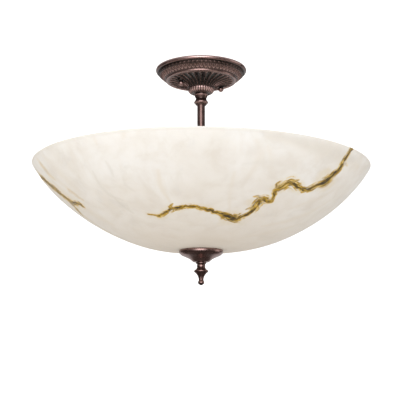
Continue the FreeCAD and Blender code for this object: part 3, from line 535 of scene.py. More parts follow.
BRONZE = bronze("bronze")
BRONZE_CAST = bronze("bronze_cast", worn=0.38)
BRONZE_STEM = bronze("bronze_stem", worn=0.42)
ZINC = metal("zinc_steel", [(0.42, 0.41, 0.37), (0.58, 0.57, 0.53), (0.70, 0.69, 0.66)])
GREEN = metal("green_steel", [(0.02, 0.16, 0.05), (0.03, 0.26, 0.08), (0.05, 0.34, 0.11)], metallic=0.4)
TINNED = metal("tinned_brass", [(0.52, 0.47, 0.36), (0.68, 0.64, 0.54), (0.80, 0.77, 0.70)])
BRASS = metal("brass_shell", [(0.46, 0.29, 0.10), (0.66, 0.44, 0.17), (0.80, 0.58, 0.27)])
NICKEL = metal("bulb_metal", [(0.50, 0.49, 0.46), (0.66, 0.65, 0.62), (0.78, 0.77, 0.75)])
RUBBER = plastic("rubber_seal", [(0.030, 0.029, 0.028), (0.055, 0.053, 0.050)], (0.6, 0.8), grain=0.3)
ORANGE = plastic("connector_plastic", [(0.72, 0.20, 0.025), (0.85, 0.28, 0.05)], (0.35, 0.5))
SPLICE = plastic("splice_plastic", [(0.62, 0.60, 0.55), (0.74, 0.72, 0.68)], (0.35, 0.5))
BLACK = plastic("black_wire", [(0.012, 0.012, 0.013), (0.028, 0.028, 0.030)], (0.3, 0.45))
WHITE = plastic("white_wire", [(0.66, 0.65, 0.61), (0.80, 0.79, 0.75)], (0.3, 0.45))
GREENWIRE = plastic("green_wire", [(0.015, 0.17, 0.035), (0.03, 0.28, 0.06)], (0.3, 0.45))
PORCELAIN = plastic("porcelain", [(0.80, 0.78, 0.72), (0.88, 0.87, 0.83)], (0.16, 0.28), coat=0.6, sss=0.1)
BULB = plastic("bulb_glass", [(0.86, 0.85, 0.82), (0.92, 0.91, 0.89)], (0.22, 0.34), coat=0.5, sss=0.25)
VITRITE = plastic("vitrite", [(0.012, 0.012, 0.014), (0.03, 0.03, 0.034)], (0.12, 0.22))
MARBLE = marble()

# --------------------------------------------------------------------- bowl

RIM = -158.0
KNOTS = np.array(
    [(36.0, 124.4), (60.0, 123.2), (90.0, 117.2), (120.0, 107.4), (150.0, 93.7), (180.0, 75.2),
     (205.0, 56.5), (225.0, 38.6), (240.0, 21.9), (250.0, 7.3), (254.0, 1.4)]
)
run = np.concatenate([[0], np.cumsum(np.hypot(*np.diff(KNOTS, axis=0).T))])
weight = np.ones(len(KNOTS))
weight[0], weight[-1] = 4, 6
fit_r = np.polyfit(run / run[-1], KNOTS[:, 0], 4, w=weight)
fit_d = np.polyfit(run / run[-1], KNOTS[:, 1], 4, w=weight)
side = np.linspace(0, 1, 118)
out_side = np.stack([np.polyval(fit_r, side), RIM - np.polyval(fit_d, side)], 1)
out_side[0], out_side[-1] = (36.0, RIM - 124.4), (254.0, RIM - 1.4)
lip_run = np.array([(253.7, RIM - 0.65), (253.0, RIM - 0.15), (252.2, RIM), (249.6, RIM), (248.9, RIM - 0.3), (248.4, RIM - 1.1)])
floor_run = np.array([(6.0, RIM - 124.4), (14.0, RIM - 124.4), (24.0, RIM - 124.4)])


def place_on_bowl(az, r, lift=0.0):
    """The point on the outside of the bowl at that bearing and radius."""
    line = np.concatenate([floor_run, out_side])
    z = np.interp(r, line[:, 0], line[:, 1])
    a = np.radians(az)
    return np.stack([r * np.cos(a), r * np.sin(a), z], -1)


# veins: bearing in degrees, radius, half width, all laid along the bowl's outside
VEINS = [
    (1.0, [(213.7, 151, 1.1), (217.4, 148, 1.7), (219.1, 146, 2.2), (222.3, 150, 2.2), (225.1, 154, 1.8),
           (227.9, 160, 2.4), (231.9, 160, 2.6), (234.9, 163, 2.1), (239.2, 163, 1.9), (242.4, 159, 2.1),
           (244.4, 158, 2.0), (250.0, 153, 2.1), (254.6, 148, 3.8, 0.9), (258.0, 143, 5.0, 1.0), (261.9, 140, 4.8, 0.8),
           (263.9, 145, 3.2, 0.5), (267.3, 154, 2.2, 0.5), (268.3, 162, 3.6, 0.45), (268.4, 174, 4.6, 0.30), (269.5, 181, 3.4, 0.25),
           (272.5, 177, 1.9, 0.4), (274.4, 178, 1.9, 0.5), (273.7, 187, 1.5), (272.6, 195, 1.9), (273.9, 198, 3.8, 0.30),
           (275.2, 203, 4.4, 0.30), (276.8, 208, 4.0, 0.35), (279.1, 207, 3.2, 0.6), (283.1, 204, 2.6, 0.7), (285.9, 201, 3.0, 0.6),
           (288.4, 205, 3.2, 0.4), (290.1, 210, 3.0, 0.5), (292.0, 215, 4.2, 0.9), (294.0, 221, 5.6, 1.0), (294.8, 227, 4.4, 0.9),
           (295.9, 232, 3.2, 0.6), (296.0, 238, 3.0), (295.6, 244, 2.9), (295.8, 250, 2.7), (296.5, 254, 2.4)]),
    (1.0, [(227.9, 160, 1.6), (227.2, 163, 1.4), (229.2, 168, 0.7)]),
    (0.9, [(232.0, 160, 1.0), (229.5, 156, 0.8), (227.0, 152, 0.5)]),
    (0.9, [(262.5, 141, 1.5), (261.5, 148, 1.1), (262.5, 153, 0.5)]),
    (0.9, [(269.0, 181, 1.6), (266.4, 184, 1.4), (264.6, 183, 0.6)]),
    (0.8, [(267.6, 165, 1.2), (265.4, 163, 0.9), (264.2, 160, 0.5)]),
    (0.9, [(273.4, 197, 1.2), (271.6, 203, 1.2), (272.6, 208, 0.6)]),
    (0.9, [(278.0, 209, 1.5), (279.9, 213, 0.8)]),
    (0.95, [(160.9, 240, 3.0, 0.55), (162.9, 234, 4.6, 0.75), (166.3, 220, 5.0, 0.5), (167.7, 208, 4.4, 0.5), (169.3, 196, 3.9, 0.4),
           (172.6, 192, 2.8, 0.5), (175.9, 189, 3.0, 0.6), (175.5, 183, 1.4, 0.3)]),
    (0.8, [(167.0, 196, 2.6), (166.1, 190, 2.4), (161.6, 183, 1.8), (158.0, 176, 1.0)]),
    (0.9, [(160.9, 240, 1.5), (157.0, 238, 1.8), (152.5, 243, 1.4), (149.0, 248, 1.2), (147.0, 254, 1.0)]),
    (0.35, [(163.0, 182, 0.8), (161.0, 174, 1.5), (156.8, 151, 1.3), (151.0, 140, 1.2), (149.0, 126, 0.8)]),
    (0.26, [(173.3, 244, 3.4, 0), (174.1, 234, 3.0, 0), (175.4, 226, 1.6, 0)]),
    (0.26, [(179.0, 208, 2.8, 0), (180.6, 200, 2.6, 0), (181.8, 192, 1.4, 0)]),
    (0.30, [(296.3, 242, 1.6), (299.5, 240, 0.9)]),
    # the far side
    (1.0, [(18, 254, 1.1), (21, 244, 1.4), (24, 236, 1.7), (30, 226, 3.0), (36, 221, 2.1), (41, 214, 2.6),
           (45, 207, 1.6), (47, 197, 1.5), (52, 192, 2.8), (57, 189, 3.2), (61, 182, 1.9), (66, 176, 1.8),
           (71, 179, 2.8), (77, 184, 2.4), (82, 181, 1.8), (88, 176, 1.6), (93, 168, 3.0), (97, 160, 2.1),
           (101, 152, 1.5), (104, 146, 0.8)]),
    (0.9, [(57, 189, 1.6), (60, 195, 1.2), (59, 202, 0.6)]),
    (0.9, [(93, 168, 1.5), (95, 175, 1.1), (98, 179, 0.6)]),
    (0.9, [(36, 221, 1.4), (37, 229, 1.0), (35, 234, 0.6)]),
    (1.0, [(124, 254, 1.1), (127, 244, 1.5), (125, 234, 1.9), (129, 224, 2.8), (134, 215, 2.0), (137, 204, 1.5),
           (135, 195, 0.8)]),
    (0.9, [(129, 224, 1.4), (125, 220, 1.1), (123, 214, 0.6)]),
    (1.0, [(-4, 128, 0.9), (2, 131, 1.7), (8, 139, 2.6), (14, 150, 2.0), (20, 155, 1.5), (27, 163, 2.2),
           (31, 172, 0.8)]),
    (0.9, [(8, 139, 1.4), (6, 146, 1.0), (7, 152, 0.5)]),
    (0.9, [(62, 96, 0.8), (70, 92, 1.5), (82, 95, 2.0), (92, 88, 1.2), (101, 90, 0.7)]),
]

# soft smears in the glass: strength (below zero is a cool one), then bearing, radius, half width
SMEARS = [
    (0.9, [(228.6, 166, 2.5), (227.2, 184, 3.5), (226.4, 198, 4.0), (227.2, 215, 5.0)]),
    (0.55, [(256.2, 157, 2.0), (254.2, 180, 3.0), (253.8, 199, 3.5), (253.8, 213, 4.0)]),
    (0.4, [(269.4, 206, 2.5), (266.6, 219, 3.5), (265.4, 231, 4.0), (262.8, 242, 4.0)]),
    (-0.9, [(201.5, 222, 2.0), (200.8, 213, 2.4), (200.4, 204, 3.0), (201.2, 189, 3.0), (206.0, 179, 2.0)]),
    (-1.0, [(202.2, 192, 2.0), (203.2, 171, 3.0), (205.4, 156, 3.0)]),
    (-0.8, [(209.4, 230, 2.0), (209.6, 220, 2.6), (209.0, 212, 2.0)]),
    (-0.7, [(213.0, 212, 1.6), (212.0, 200, 2.2), (214.5, 190, 2.0)]),
    (0.5, [(208.4, 253, 4.0), (208.4, 251, 3.5), (208.8, 246, 2.5)]),
    (0.4, [(219.4, 253, 4.0), (218.4, 248, 3.0)]),
    (0.5, [(258.6, 246, 5.0), (261.2, 238, 6.0), (261.0, 226, 6.0), (259.0, 207, 4.0)]),
    (0.6, [(282.4, 131, 4.0), (295.2, 148, 6.0), (304.4, 175, 6.0), (309.0, 200, 4.0)]),
    (0.5, [(278.6, 93, 4.0), (297.2, 120, 6.0), (311.2, 153, 5.0)]),
    (0.5, [(287.0, 170, 3.0), (292.0, 182, 4.0), (299.0, 196, 4.0), (303.0, 212, 3.0)]),
    (0.4, [(273.0, 250, 5.0), (278.8, 244, 5.0), (283.6, 235, 4.0)]),
    (0.8, [(173.0, 250, 6.0), (174.8, 236, 7.0), (176.8, 226, 7.0), (181.0, 204, 5.0)]),
    (0.85, [(172.0, 226.0, 11.0), (173.4, 200.0, 13.0), (175.6, 172.0, 12.0), (179.0, 144.0, 9.0)]),
    (0.60, [(180.0, 249.0, 7.0), (182.0, 238.0, 10.0), (184.0, 222.0, 10.0), (186.0, 205.0, 8.0)]),
    (0.70, [(262.0, 249.0, 4.0), (272.0, 248.0, 8.0), (284.0, 246.0, 12.0), (296.0, 244.0, 11.0), (308.0, 243.0, 9.0)]),
    (-0.95, [(264.0, 251.0, 3.0), (275.0, 249.0, 8.0), (288.0, 246.0, 12.0), (301.0, 247.0, 8.0)]),
    (-0.45, [(256.0, 223.0, 2.5), (264.0, 228.0, 3.5), (272.0, 226.0, 3.0), (279.0, 220.0, 2.0)]),
]
SMEARS += [(k, [(az + 132.0 + 0.1 * r, r * 0.96, w * 1.2) for az, r, w in line]) for k, line in SMEARS[:12]]
SMEARS += [(-k, [(az + 222.0 - 0.08 * r, r * 0.92, w) for az, r, w in line]) for k, line in SMEARS[2:9]]


def smear_field(points):
    """How warm and how cool the glass is at each point, from 0 to 1."""
    warm, cool = np.zeros(len(points)), np.zeros(len(points))
    for strength, control in SMEARS:
        c = np.array(control, float)
        t = np.linspace(0, 1, 24)
        k = np.linspace(0, 1, len(c))
        line = place_on_bowl(np.interp(t, k, c[:, 0]), np.interp(t, k, c[:, 1]))
        w = np.interp(t, k, c[:, 2]) * (0.55 + 0.45 * np.sin(math.pi * t))
        near = np.where(((points > line.min(0) - 20) & (points < line.max(0) + 20)).all(1))[0]
        if not len(near):
            continue
        a, b = line[:-1], line[1:]
        ab = b - a
        best = np.full(len(near), 9.0)
        for i in range(len(a)):
            h = np.clip(((points[near] - a[i]) @ ab[i]) / (ab[i] @ ab[i]), 0, 1)
            d = np.linalg.norm(points[near] - a[i] - h[:, None] * ab[i], axis=1)
            best = np.minimum(best, d / (w[i] + (w[i + 1] - w[i]) * h))
        value = abs(strength) * np.exp(-(best**2) * 0.8)
        into = warm if strength > 0 else cool
        into[near] = np.maximum(into[near], value)
    return warm, cool


def vein_line(points):
    """A vein with its small kinks, as points, half widths and darkness."""
    p = np.array([q if len(q) > 3 else (*q, min(1.0, max(0.12, q[2] * 0.6 - 0.8))) for q in points], float)
    at = place_on_bowl(p[:, 0], p[:, 1])
    xyz, half, dark = [at[0]], [p[0, 2]], [p[0, 3]]
    for i in range(len(p) - 1):
        length = np.linalg.norm(at[i + 1] - at[i])
        count = max(2, int(length / 3.0))
        kinks = RNG.normal(0, min(0.6, length * 0.05), count)
        for k in range(1, count + 1):
            t = k / count
            az = p[i, 0] + (p[i + 1, 0] - p[i, 0]) * t
            r = p[i, 1] + (p[i + 1, 1] - p[i, 1]) * t
            w = p[i, 2] + (p[i + 1, 2] - p[i, 2]) * t
            if k < count:
                r += kinks[k - 1]
                az += RNG.normal(0, 0.15)
                w *= 1 + RNG.normal(0, 0.12)
            xyz.append(place_on_bowl(np.array(az), np.array(r)))
            half.append(max(w, 0.4))
            dark.append(p[i, 3] + (p[i + 1, 3] - p[i, 3]) * t)
    return np.array(xyz), np.array(half), np.array(dark)


def vein_field(points):
    """For each point: distance to the nearest vein in half widths, distance along it and across it in
    millimetres, how dark its heart is and its strength."""
    count = len(points)
    q, along, across = np.full(count, 9.0), np.zeros(count), np.full(count, 12.0)
    dark, fade = np.zeros(count), np.zeros(count)
    for number, (strength, control) in enumerate(VEINS):
        line, half, heart = vein_line(control)
        step = np.linalg.norm(np.diff(line, axis=0), axis=1)
        run = np.concatenate([[0], np.cumsum(step)])
        s = np.arange(0, run[-1], 0.5)
        p = np.stack([np.interp(s, run, line[:, i]) for i in range(3)], 1)
        w = np.interp(s, run, half) * 1.8
        h = np.interp(s, run, heart)
        t = np.gradient(p, axis=0)
        out = p - np.array([0, 0, 34.0])
        sideways = np.cross(t, out)
        sideways /= np.linalg.norm(sideways, axis=1)[:, None]
        near = np.where(((points > p.min(0) - 24) & (points < p.max(0) + 24)).all(1))[0]
        for part in np.array_split(near, max(1, len(near) // 4000)):
            c = points[part]
            d2 = ((c[:, None, :] - p[None, :, :]) ** 2).sum(2)
            j = (np.sqrt(d2) / w).argmin(1)
            d = np.sqrt(d2[np.arange(len(c)), j])
            r = d / w[j]
            take = r < q[part]
            i = part[take]
            j = j[take]
            q[i] = r[take]
            along[i] = s[j] + number * 137.0
            across[i] = np.clip(((points[i] - p[j]) * sideways[j]).sum(1), -12, 12)
            dark[i] = h[j]
            fade[i] = strength
    return q, along, across, dark, fade


def bowl():
    n = 640
    outer = np.concatenate([floor_run, out_side])
    nrm = normals_of(out_side, False)
    nrm[nrm[:, 1] > 0] *= -1
    inner_side = out_side - nrm * 5.0
    inner_side = inner_side[inner_side[:, 1] < RIM - 2.0]
    inner_side[0] = (36.0, RIM - 119.4)
    pick = np.unique(np.concatenate([np.arange(0, len(inner_side), 2), [len(inner_side) - 1]]))
    inner_floor = floor_run + np.array([0, 5.0])
    inner = np.concatenate([inner_side[pick][::-1], inner_floor[::-1]])
    profile = np.concatenate([outer, lip_run, inner])
    th = np.linspace(0, 2 * math.pi, n, endpoint=False)
    m = len(profile)
    x = profile[:, 0][:, None] * np.cos(th)
    y = profile[:, 0][:, None] * np.sin(th)
    z = np.broadcast_to(profile[:, 1][:, None], (m, n))
    grid = np.stack([x, y, z], -1)
    # the vein runs through the glass, so the inside copies the outside above it
    probe = grid.copy()
    back = np.concatenate([out_side[: len(inner_side)][pick][::-1], floor_run[::-1]])
    start = len(outer) + len(lip_run)
    probe[start:, :, 0] = back[:, 0][:, None] * np.cos(th)
    probe[start:, :, 1] = back[:, 0][:, None] * np.sin(th)
    probe[start:, :, 2] = back[:, 1][:, None]
    q, along, across, dark, fade = (v.reshape(m, n) for v in vein_field(probe.reshape(-1, 3)))
    fade[start:] *= 0.55
    inner_mark = np.zeros((m, n))
    inner_mark[start:] = 1.0
    # painted shade: the glass is made darker and warmer towards the bottom, less so inside
    low = np.clip((RIM - 20 - profile[:, 1]) / 104.0, 0, 1) ** 2.7
    low[start:] *= 0.4
    low = np.broadcast_to(low[:, None], (m, n))
    warm, cool = (v.reshape(m, n).copy() for v in smear_field(probe.reshape(-1, 3)))
    warm[start:] *= 0.6
    cool[start:] *= 0.6
    # the outside is a little darker and cooler near the rim
    edge = np.clip((profile[:, 1] - (RIM - 5.0)) / 3.0, 0, 1) * (np.arange(m) < len(outer) + 3)
    warm = np.maximum(warm, 0.30 * edge[:, None])
    cool = np.maximum(cool, 0.75 * edge[:, None])
    # cast glass is never quite even
    wave = 0.16 * np.sin(3 * th + 0.7)[None, :] * np.sin(profile[:, 1] / 17.0)[:, None]
    wave += 0.10 * np.sin(7 * th + profile[:, 1][:, None] / 11.0)
    wave *= np.clip((profile[:, 0][:, None] - 45.0) / 60.0, 0, 1) * np.clip((253.9 - profile[:, 0][:, None]) / 30.0, 0, 1)
    o = turned(
        "bowl_glass", profile, n, True, wave, sharp=60.0,
        attributes={"vein": q, "vein_along": along, "vein_across": across, "vein_dark": dark, "vein_fade": fade, "low": low, "inside": inner_mark,
                    "warm": warm, "cool": cool},
    )
    # the bowl hangs a touch lower on one side
    co = np.zeros(len(o.data.vertices) * 3)
    o.data.vertices.foreach_get("co", co)
    co = co.reshape(-1, 3)
    r = np.hypot(co[:, 0], co[:, 1])
    k = np.clip((r - 0.045) / 0.09, 0, 1)
    co[:, 2] -= 0.0115 * (0.885 * co[:, 0] - 0.466 * co[:, 1]) * k * k * (3 - 2 * k)
    o.data.vertices.foreach_set("co", co.reshape(-1))
    o.data.update()
    return o


finish_piece(bowl(), "bowl", MARBLE, ["bowl"])

# ------------------------------------------------------------------- canopy


def canopy():
    n = 720
    th = np.linspace(0, 2 * math.pi, n, endpoint=False)
    zones = [
        ("lip", [(65.5, 0.0), (68.2, 0.0, 1), (69.2, -0.5), (69.8, -1.5), (69.95, -2.6), (69.6, -3.9), (68.7, -5.0),
                 (67.5, -5.6, 1)], 0.45),
        ("groove", [(67.5, -5.6), (66.9, -5.5), (66.4, -5.8), (66.1, -6.4, 1)], 0.45),
        ("egg", [(66.1, -6.4), (65.5, -7.9), (64.5, -9.4, 1)], 0.34),
        ("step", [(64.5, -9.4), (64.2, -9.9), (63.7, -10.1, 1)], 0.4),
        ("ribs", [(63.7, -10.1), (61.4, -12.2), (58.8, -14.2), (55.9, -16.0, 1)], 0.5),
        ("step2", [(55.9, -16.0), (55.4, -16.3), (55.0, -16.5, 1)], 0.4),
        ("bead", [(55.0, -16.5), (54.95, -17.4), (54.4, -18.7), (53.1, -19.35), (52.0, -19.0), (51.5, -18.5, 1)], 0.32),
        ("flutes", [(51.5, -18.5), (50.4, -18.7), (45.0, -19.4), (40.0, -20.5), (36.0, -21.5), (32.0, -22.7),
                    (29.0, -23.8), (26.0, -25.3), (24.0, -26.6), (22.3, -28.2), (21.2, -29.6, 1)], 0.42),
        ("neck", [(21.2, -29.6), (20.3, -30.3), (19.9, -31.0, 1)], 0.4),
        ("knob", [(19.9, -31.0), (20.3, -31.9), (20.2, -33.0), (19.6, -34.4), (18.7, -35.9), (17.3, -37.4),
                  (15.6, -38.4), (13.9, -38.9, 1)], 0.42),
        ("foot", [(13.9, -38.9), (13.2, -39.0, 1), (12.7, -37.9), (11.7, -37.85, 1), (11.2, -39.0, 1), (5.05, -39.0, 1)], 0.6),
        ("inside", [(5.05, -39.0), (5.05, -37.2, 1), (13.0, -37.2, 1), (15.4, -36.0), (17.0, -33.4), (18.2, -30.2),
                    (19.6, -27.6), (22.4, -25.2), (26.5, -23.3), (32.0, -21.1), (40.0, -18.9), (50.3, -17.2),
                    (52.6, -16.4), (54.8, -14.2), (58.6, -11.4), (62.0, -8.2), (63.8, -4.6), (65.2, -1.2), (65.5, 0.0)], 1.6),
    ]
    rows, name, t = [], [], []
    for label, knots, step in zones:
        p = rounded(knots, step)
        s = np.concatenate([[0], np.cumsum(np.hypot(*np.diff(p, axis=0).T))])
        s /= s[-1]
        first = 1 if rows else 0
        last = len(p) - 1 if label == "inside" else len(p)
        for i in range(first, last):
            rows.append(p[i])
            name.append(label)
            t.append(s[i])
    p = np.array(rows)
    name, t = np.array(name), np.array(t)
    nrm = normals_of(p, True)
    # outwards is away from the cast wall: downwards on the outside
    height = np.zeros((len(p), n))
    # each zone is made lighter or darker: rubbed copper, painted highlights and painted shade
    rub_and_painted_light = np.zeros((len(p), n))

    def saw(count, shift=0.0):
        return (th * count / (2 * math.pi) + shift) % 1.0 - 0.5

    u60, u30 = saw(60), saw(30)
    for i in range(len(p)):
        label, v = name[i], t[i]
        if label == "egg":
            e = 1 - (u60 / 0.34) ** 2 - ((v - 0.5) / 0.44) ** 2
            d = 1 - ((np.abs(u60) - 0.5) / 0.085) ** 2
            h = 0.85 * np.sqrt(np.clip(e, 0, None)) + 0.45 * np.sqrt(np.clip(d, 0, None)) * (1 - 0.75 * v) * np.clip(v * 6, 0, 1)
            height[i] = h - 0.15
            # painted shade: the egg row under the lip is made dark, the eggs a touch lighter than the ground
            rub_and_painted_light[i] = h / 0.85 * 0.50 - 0.66
        elif label == "ribs":
            # a row of tongues, each with a raised outline and a midrib
            window = np.clip(np.sin(math.pi * np.clip(v, 0, 1)), 0, 1) ** 0.3
            e = np.hypot(u60 / 0.44, (v - 0.10) / 0.80)
            line = np.exp(-(((e - 0.90) / 0.13) ** 2))
            mid = np.exp(-((u60 / 0.085) ** 2)) * (v < 0.72)
            between = np.exp(-(((np.abs(u60) - 0.5) / 0.06) ** 2)) * np.clip((v - 0.55) * 4, 0, 1)
            h = 0.80 * line + 0.55 * mid + 0.55 * between
            height[i] = (h - 0.45) * window
            # raised outlines and midribs made lighter: rubbed copper and painted highlight
            rub_and_painted_light[i] = ((h - 0.36) * 2.1 + 0.14) * window
        elif label == "bead":
            rub_and_painted_light[i] = 0.38
        elif label == "lip":
            # painted highlight: a bright band along the middle of the roll, painted shade on its underside
            rub_and_painted_light[i] = 1.6 * math.exp(-(((v - 0.46) / 0.31) ** 2)) - 0.25
        elif label == "groove":
            # painted shade: the groove under the lip is made near black
            rub_and_painted_light[i] = -0.9
        elif label in ("step", "step2", "neck"):
            # painted shade: dark lines at the steps and at the neck
            rub_and_painted_light[i] = -0.6
        elif label == "flutes":
            r = p[i, 0]
            pitch = 2 * math.pi * r / 30
            half = 0.44 * pitch
            x = np.abs(u30) * pitch
            centre, a = 44.6, 0.44 * 2 * math.pi * 44.6 / 30
            if r > centre:
                d = np.hypot(x, r - centre) / a
            else:
                d = x / half
            depth = 1.35 * np.clip((r - 20.6) / 5.0, 0.25, 1)
            dish = np.sqrt(np.clip(1 - d**2, 0, None))
            h = -depth * dish
            # fillet that frames every flute, and a leaf tip between two of them
            ridge = np.exp(-(((d - 1.06) / 0.10) ** 2))
            h = h + 0.42 * ridge
            y = (r - 47.6) / 2.6
            tip = 1 - ((np.abs(u30) - 0.5) * pitch / 1.25) ** 2 - y**2
            h = h + 0.75 * np.sqrt(np.clip(tip, 0, None))
            # a bud at the head of each flute
            bud = 1 - (x / 1.35) ** 2 - ((r - 45.6) / 2.1) ** 2
            h = h + 0.95 * np.sqrt(np.clip(bud, 0, None))
            fade = np.clip((51.3 - r) / 1.2, 0, 1)
            height[i] = h * fade
            # dark patina in the flute hollows, deepened as painted shade; fillets, tips and buds lighter
            rub_and_painted_light[i] = 0.45 * ridge - 1.0 * dish + 0.55 * np.sqrt(np.clip(tip, 0, None)) + 0.40 * np.sqrt(np.clip(bud, 0, None)) - 0.20
        elif label == "knob":
            window = np.clip(np.sin(math.pi * min(max(v * 1.02, 0), 1)), 0, 1) ** 0.45
            e = np.sqrt(np.clip(1 - (u30 / 0.46) ** 2, 0, None))
            height[i] = (0.85 * e - 0.5) * window
            # painted highlight on the raised ribs, painted shade on the knob's lower part above the collar
            rub_and_painted_light[i] = (e - 0.55) * 1.9 * window + 0.30 - 0.75 * min(1.0, max(0.0, (v - 0.50) / 0.3))
        elif label == "foot":
            rub_and_painted_light[i] = -0.3
        elif label == "inside":
            rub_and_painted_light[i] = -0.25
    height *= np.where((name == "inside") | (name == "foot"), 0.0, 1.0)[:, None]
    r = p[:, 0][:, None] + nrm[:, 0][:, None] * height * SIGN
    z = p[:, 1][:, None] + nrm[:, 1][:, None] * height * SIGN
    x, y = r * np.cos(th), r * np.sin(th)
    # flats for the ball nuts
    outside = ~np.isin(name, ["inside", "foot"])
    for sx in (-34.925, 34.925):
        d = np.hypot(x - sx, y)
        k = np.clip((5.5 - d) / 0.75, 0, 1)
        k = k * k * (3 - 2 * k) * outside[:, None]
        z = z * (1 - k) + (-22.9) * k
        # painted shade: the flats under the nuts are made dark
        rub_and_painted_light = rub_and_painted_light * (1 - k) - 0.8 * k
        # painted shadow: a dark ring round each flat
        ring = np.exp(-(((d - 5.9) / 0.5) ** 2)) * outside[:, None] * (np.abs(r - 36) < 12)
        rub_and_painted_light = rub_and_painted_light - 0.8 * ring
    v = np.stack([x, y, z], -1).reshape(-1, 3)
    j = np.arange(n)
    k = (j + 1) % n
    faces = []
    m = len(p)
    for i in range(m):
        a, b = i * n, ((i + 1) % m) * n
        faces.append(np.stack([a + j, a + k, b + k, b + j], 1))
    o = put("canopy_casting", v, np.concatenate(faces), 62.0, {"rub_and_painted_light": rub_and_painted_light.reshape(-1)})
    cutters = [
        turned("cut", [(0, -30), (2.5, -30), (2.5, -12), (0, -12)], 48, False, at=(sx, 0)) for sx in (-34.925, 34.925)
    ]
    return cut_out(o, cutters)


SIGN = -1.0
finish_piece(canopy(), "root", BRONZE_CAST, ["canopy"])

# -------------------------------------------------- ball nuts and hardware

for tail, sx in (("left", -34.925), ("right", 34.925)):
    ball = [(4.3 * math.sin(a), -26.7 - 4.3 * math.cos(a)) for a in np.radians(np.arange(0, 133, 6))]
    profile = ball + [(3.0, -24.0), (3.05, -23.66, 1), (2.2, -23.6), (2.2, -28.5), (0, -28.5)]
    # painted highlight: the lower ball is bright where the front light falls, painted shade towards the plate
    rub_and_painted_light = np.array([0.24 - 1.3 * min(1.0, max(0.0, (a - 92.0) / 16.0)) for a in range(0, 133, 6)] + [-0.9] * (len(profile) - len(ball)))
    o = turned("ball_nut_" + tail, [q[:2] for q in profile], 64, False, at=(sx, 0), attributes={"rub_and_painted_light": rub_and_painted_light[:, None]})
    finish_piece(o, "nut_" + tail, BRONZE, ["canopy_nut_" + tail])
    ring = rounded([(2.4, -22.94, 1), (4.0, -22.94, 1), (4.2, -23.08), (4.2, -23.44), (4.0, -23.58, 1), (2.4, -23.58, 1)], 0.2)
    # painted shade: the washer is made dark round the ball nut
    o = turned("flat_washer_" + tail, ring, 64, True, at=(sx, 0), attributes={"rub_and_painted_light": np.full((len(ring), 1), -1.0)})
    finish_piece(o, "washer_" + tail, BRONZE_CAST, ["nut_washer_" + tail])
    o = threaded_rod("stud_thread_" + tail, 2.08, -28.2, 0.0, 0.794, 24, at=(sx, 0))
    finish_piece(o, "root", ZINC, ["stud_" + tail])

finish_piece(
    threaded_rod("canopy_nipple_thread", 4.85, -66.0, -29.0, 0.9407, 48, bore=3.3),
    "root", ZINC, ["canopy_nipple"],
)
finish_piece(
    threaded_rod("hub_nipple_thread", 4.85, -177.0, -152.0, 0.9407, 48, bore=3.3),
    "root", ZINC, ["hub_nipple"],
)
finish_piece(
    threaded_rod("lower_rod_thread", 4.85, -310.0, -200.5, 0.9407, 48),
    "root", ZINC, ["lower_rod"],
)

# ------------------------------------------------------------- collar, stem

profile = rounded(
    [(5.05, -39.06, 1), (8.6, -39.06, 1), (8.5, -40.3, 1), (9.9, -40.35, 1), (10.5, -40.6), (10.7, -41.1), (10.5, -41.8), (10.0, -42.4), (9.3, -44.2),
     (8.5, -45.7), (8.2, -46.8), (8.25, -47.9), (8.7, -48.9), (9.0, -49.6, 1), (9.2, -50.3), (10.0, -51.3), (10.75, -52.4),
     (10.8, -53.3), (10.3, -54.4), (9.2, -55.4), (8.3, -56.1, 1), (8.0, -56.9), (7.5, -57.65, 1), (6.1, -57.65, 1),
     (6.1, -53.6, 1), (5.05, -53.6, 1)],
    0.35,
)
# lighter on the widest rings and darker in the waist: rubbed copper and painted shade
rub_and_painted_light = np.clip((profile[:, 0] - 9.4) * 0.5, -0.3, 0.5) * (profile[:, 0] > 7.2)
# painted shade: the top step, in the gap under the canopy, is made black
rub_and_painted_light[profile[:, 1] > -40.34] = -1.2
finish_piece(turned("stem_collar", profile, 128, True, attributes={"rub_and_painted_light": rub_and_painted_light[:, None]}), "root", BRONZE_CAST, ["collar"])

z = np.linspace(-167.0, -53.7, 60)
profile = [(5.05, -167.0)] + [(5.95, q) for q in z] + [(5.05, -53.7)]
finish_piece(turned("stem_pipe", profile, 96, True), "root", BRONZE_STEM, ["stem_tube"])

# -------------------------------------------------------------- bottom cap

profile = rounded(
    [(32.0, -282.5, 1), (32.65, -282.9), (32.9, -283.8), (32.9, -285.0), (32.7, -286.4), (32.3, -287.4), (31.9, -287.9, 1),
     (31.2, -288.6), (30.0, -289.7), (27.6, -291.0), (24.6, -292.3), (21.4, -293.7), (18.2, -295.3), (15.6, -297.0),
     (13.6, -298.8), (12.6, -299.7), (11.3, -300.3), (9.9, -300.4, 1), (5.15, -300.4, 1), (5.15, -298.4, 1), (9.0, -298.2),
     (12.6, -296.0), (15.5, -294.3), (18.4, -292.8), (21.6, -291.2), (24.2, -289.6), (25.6, -287.5), (25.8, -284.0, 1),
     (29.4, -284.0, 1), (29.4, -282.5, 1)],
    0.45,
)
# painted sheen: the lip, the band under it and the lower cone are made lighter, standing in for the light they catch
rub_and_painted_light = np.where((profile[:, 0] > 31.8) & (profile[:, 1] > -287.6), 0.26, 0.0)
rub_and_painted_light = np.where((profile[:, 1] < -288.0) & (profile[:, 1] > -289.2), 0.40, rub_and_painted_light)
rub_and_painted_light = np.where(profile[:, 1] < -289.2, 0.32, rub_and_painted_light)
finish_piece(turned("bowl_cap", profile, 160, True, attributes={"rub_and_painted_light": rub_and_painted_light[:, None]}), "cap", BRONZE, ["bottom_cap"])

profile = rounded([(26.0, -282.55, 1), (29.2, -282.55, 1), (29.2, -283.95, 1), (26.0, -283.95, 1)], 0.6)
finish_piece(turned("cap_gasket", profile, 128, True), "cap", RUBBER, ["outer_gasket"])

# ------------------------------------------------------------------- finial

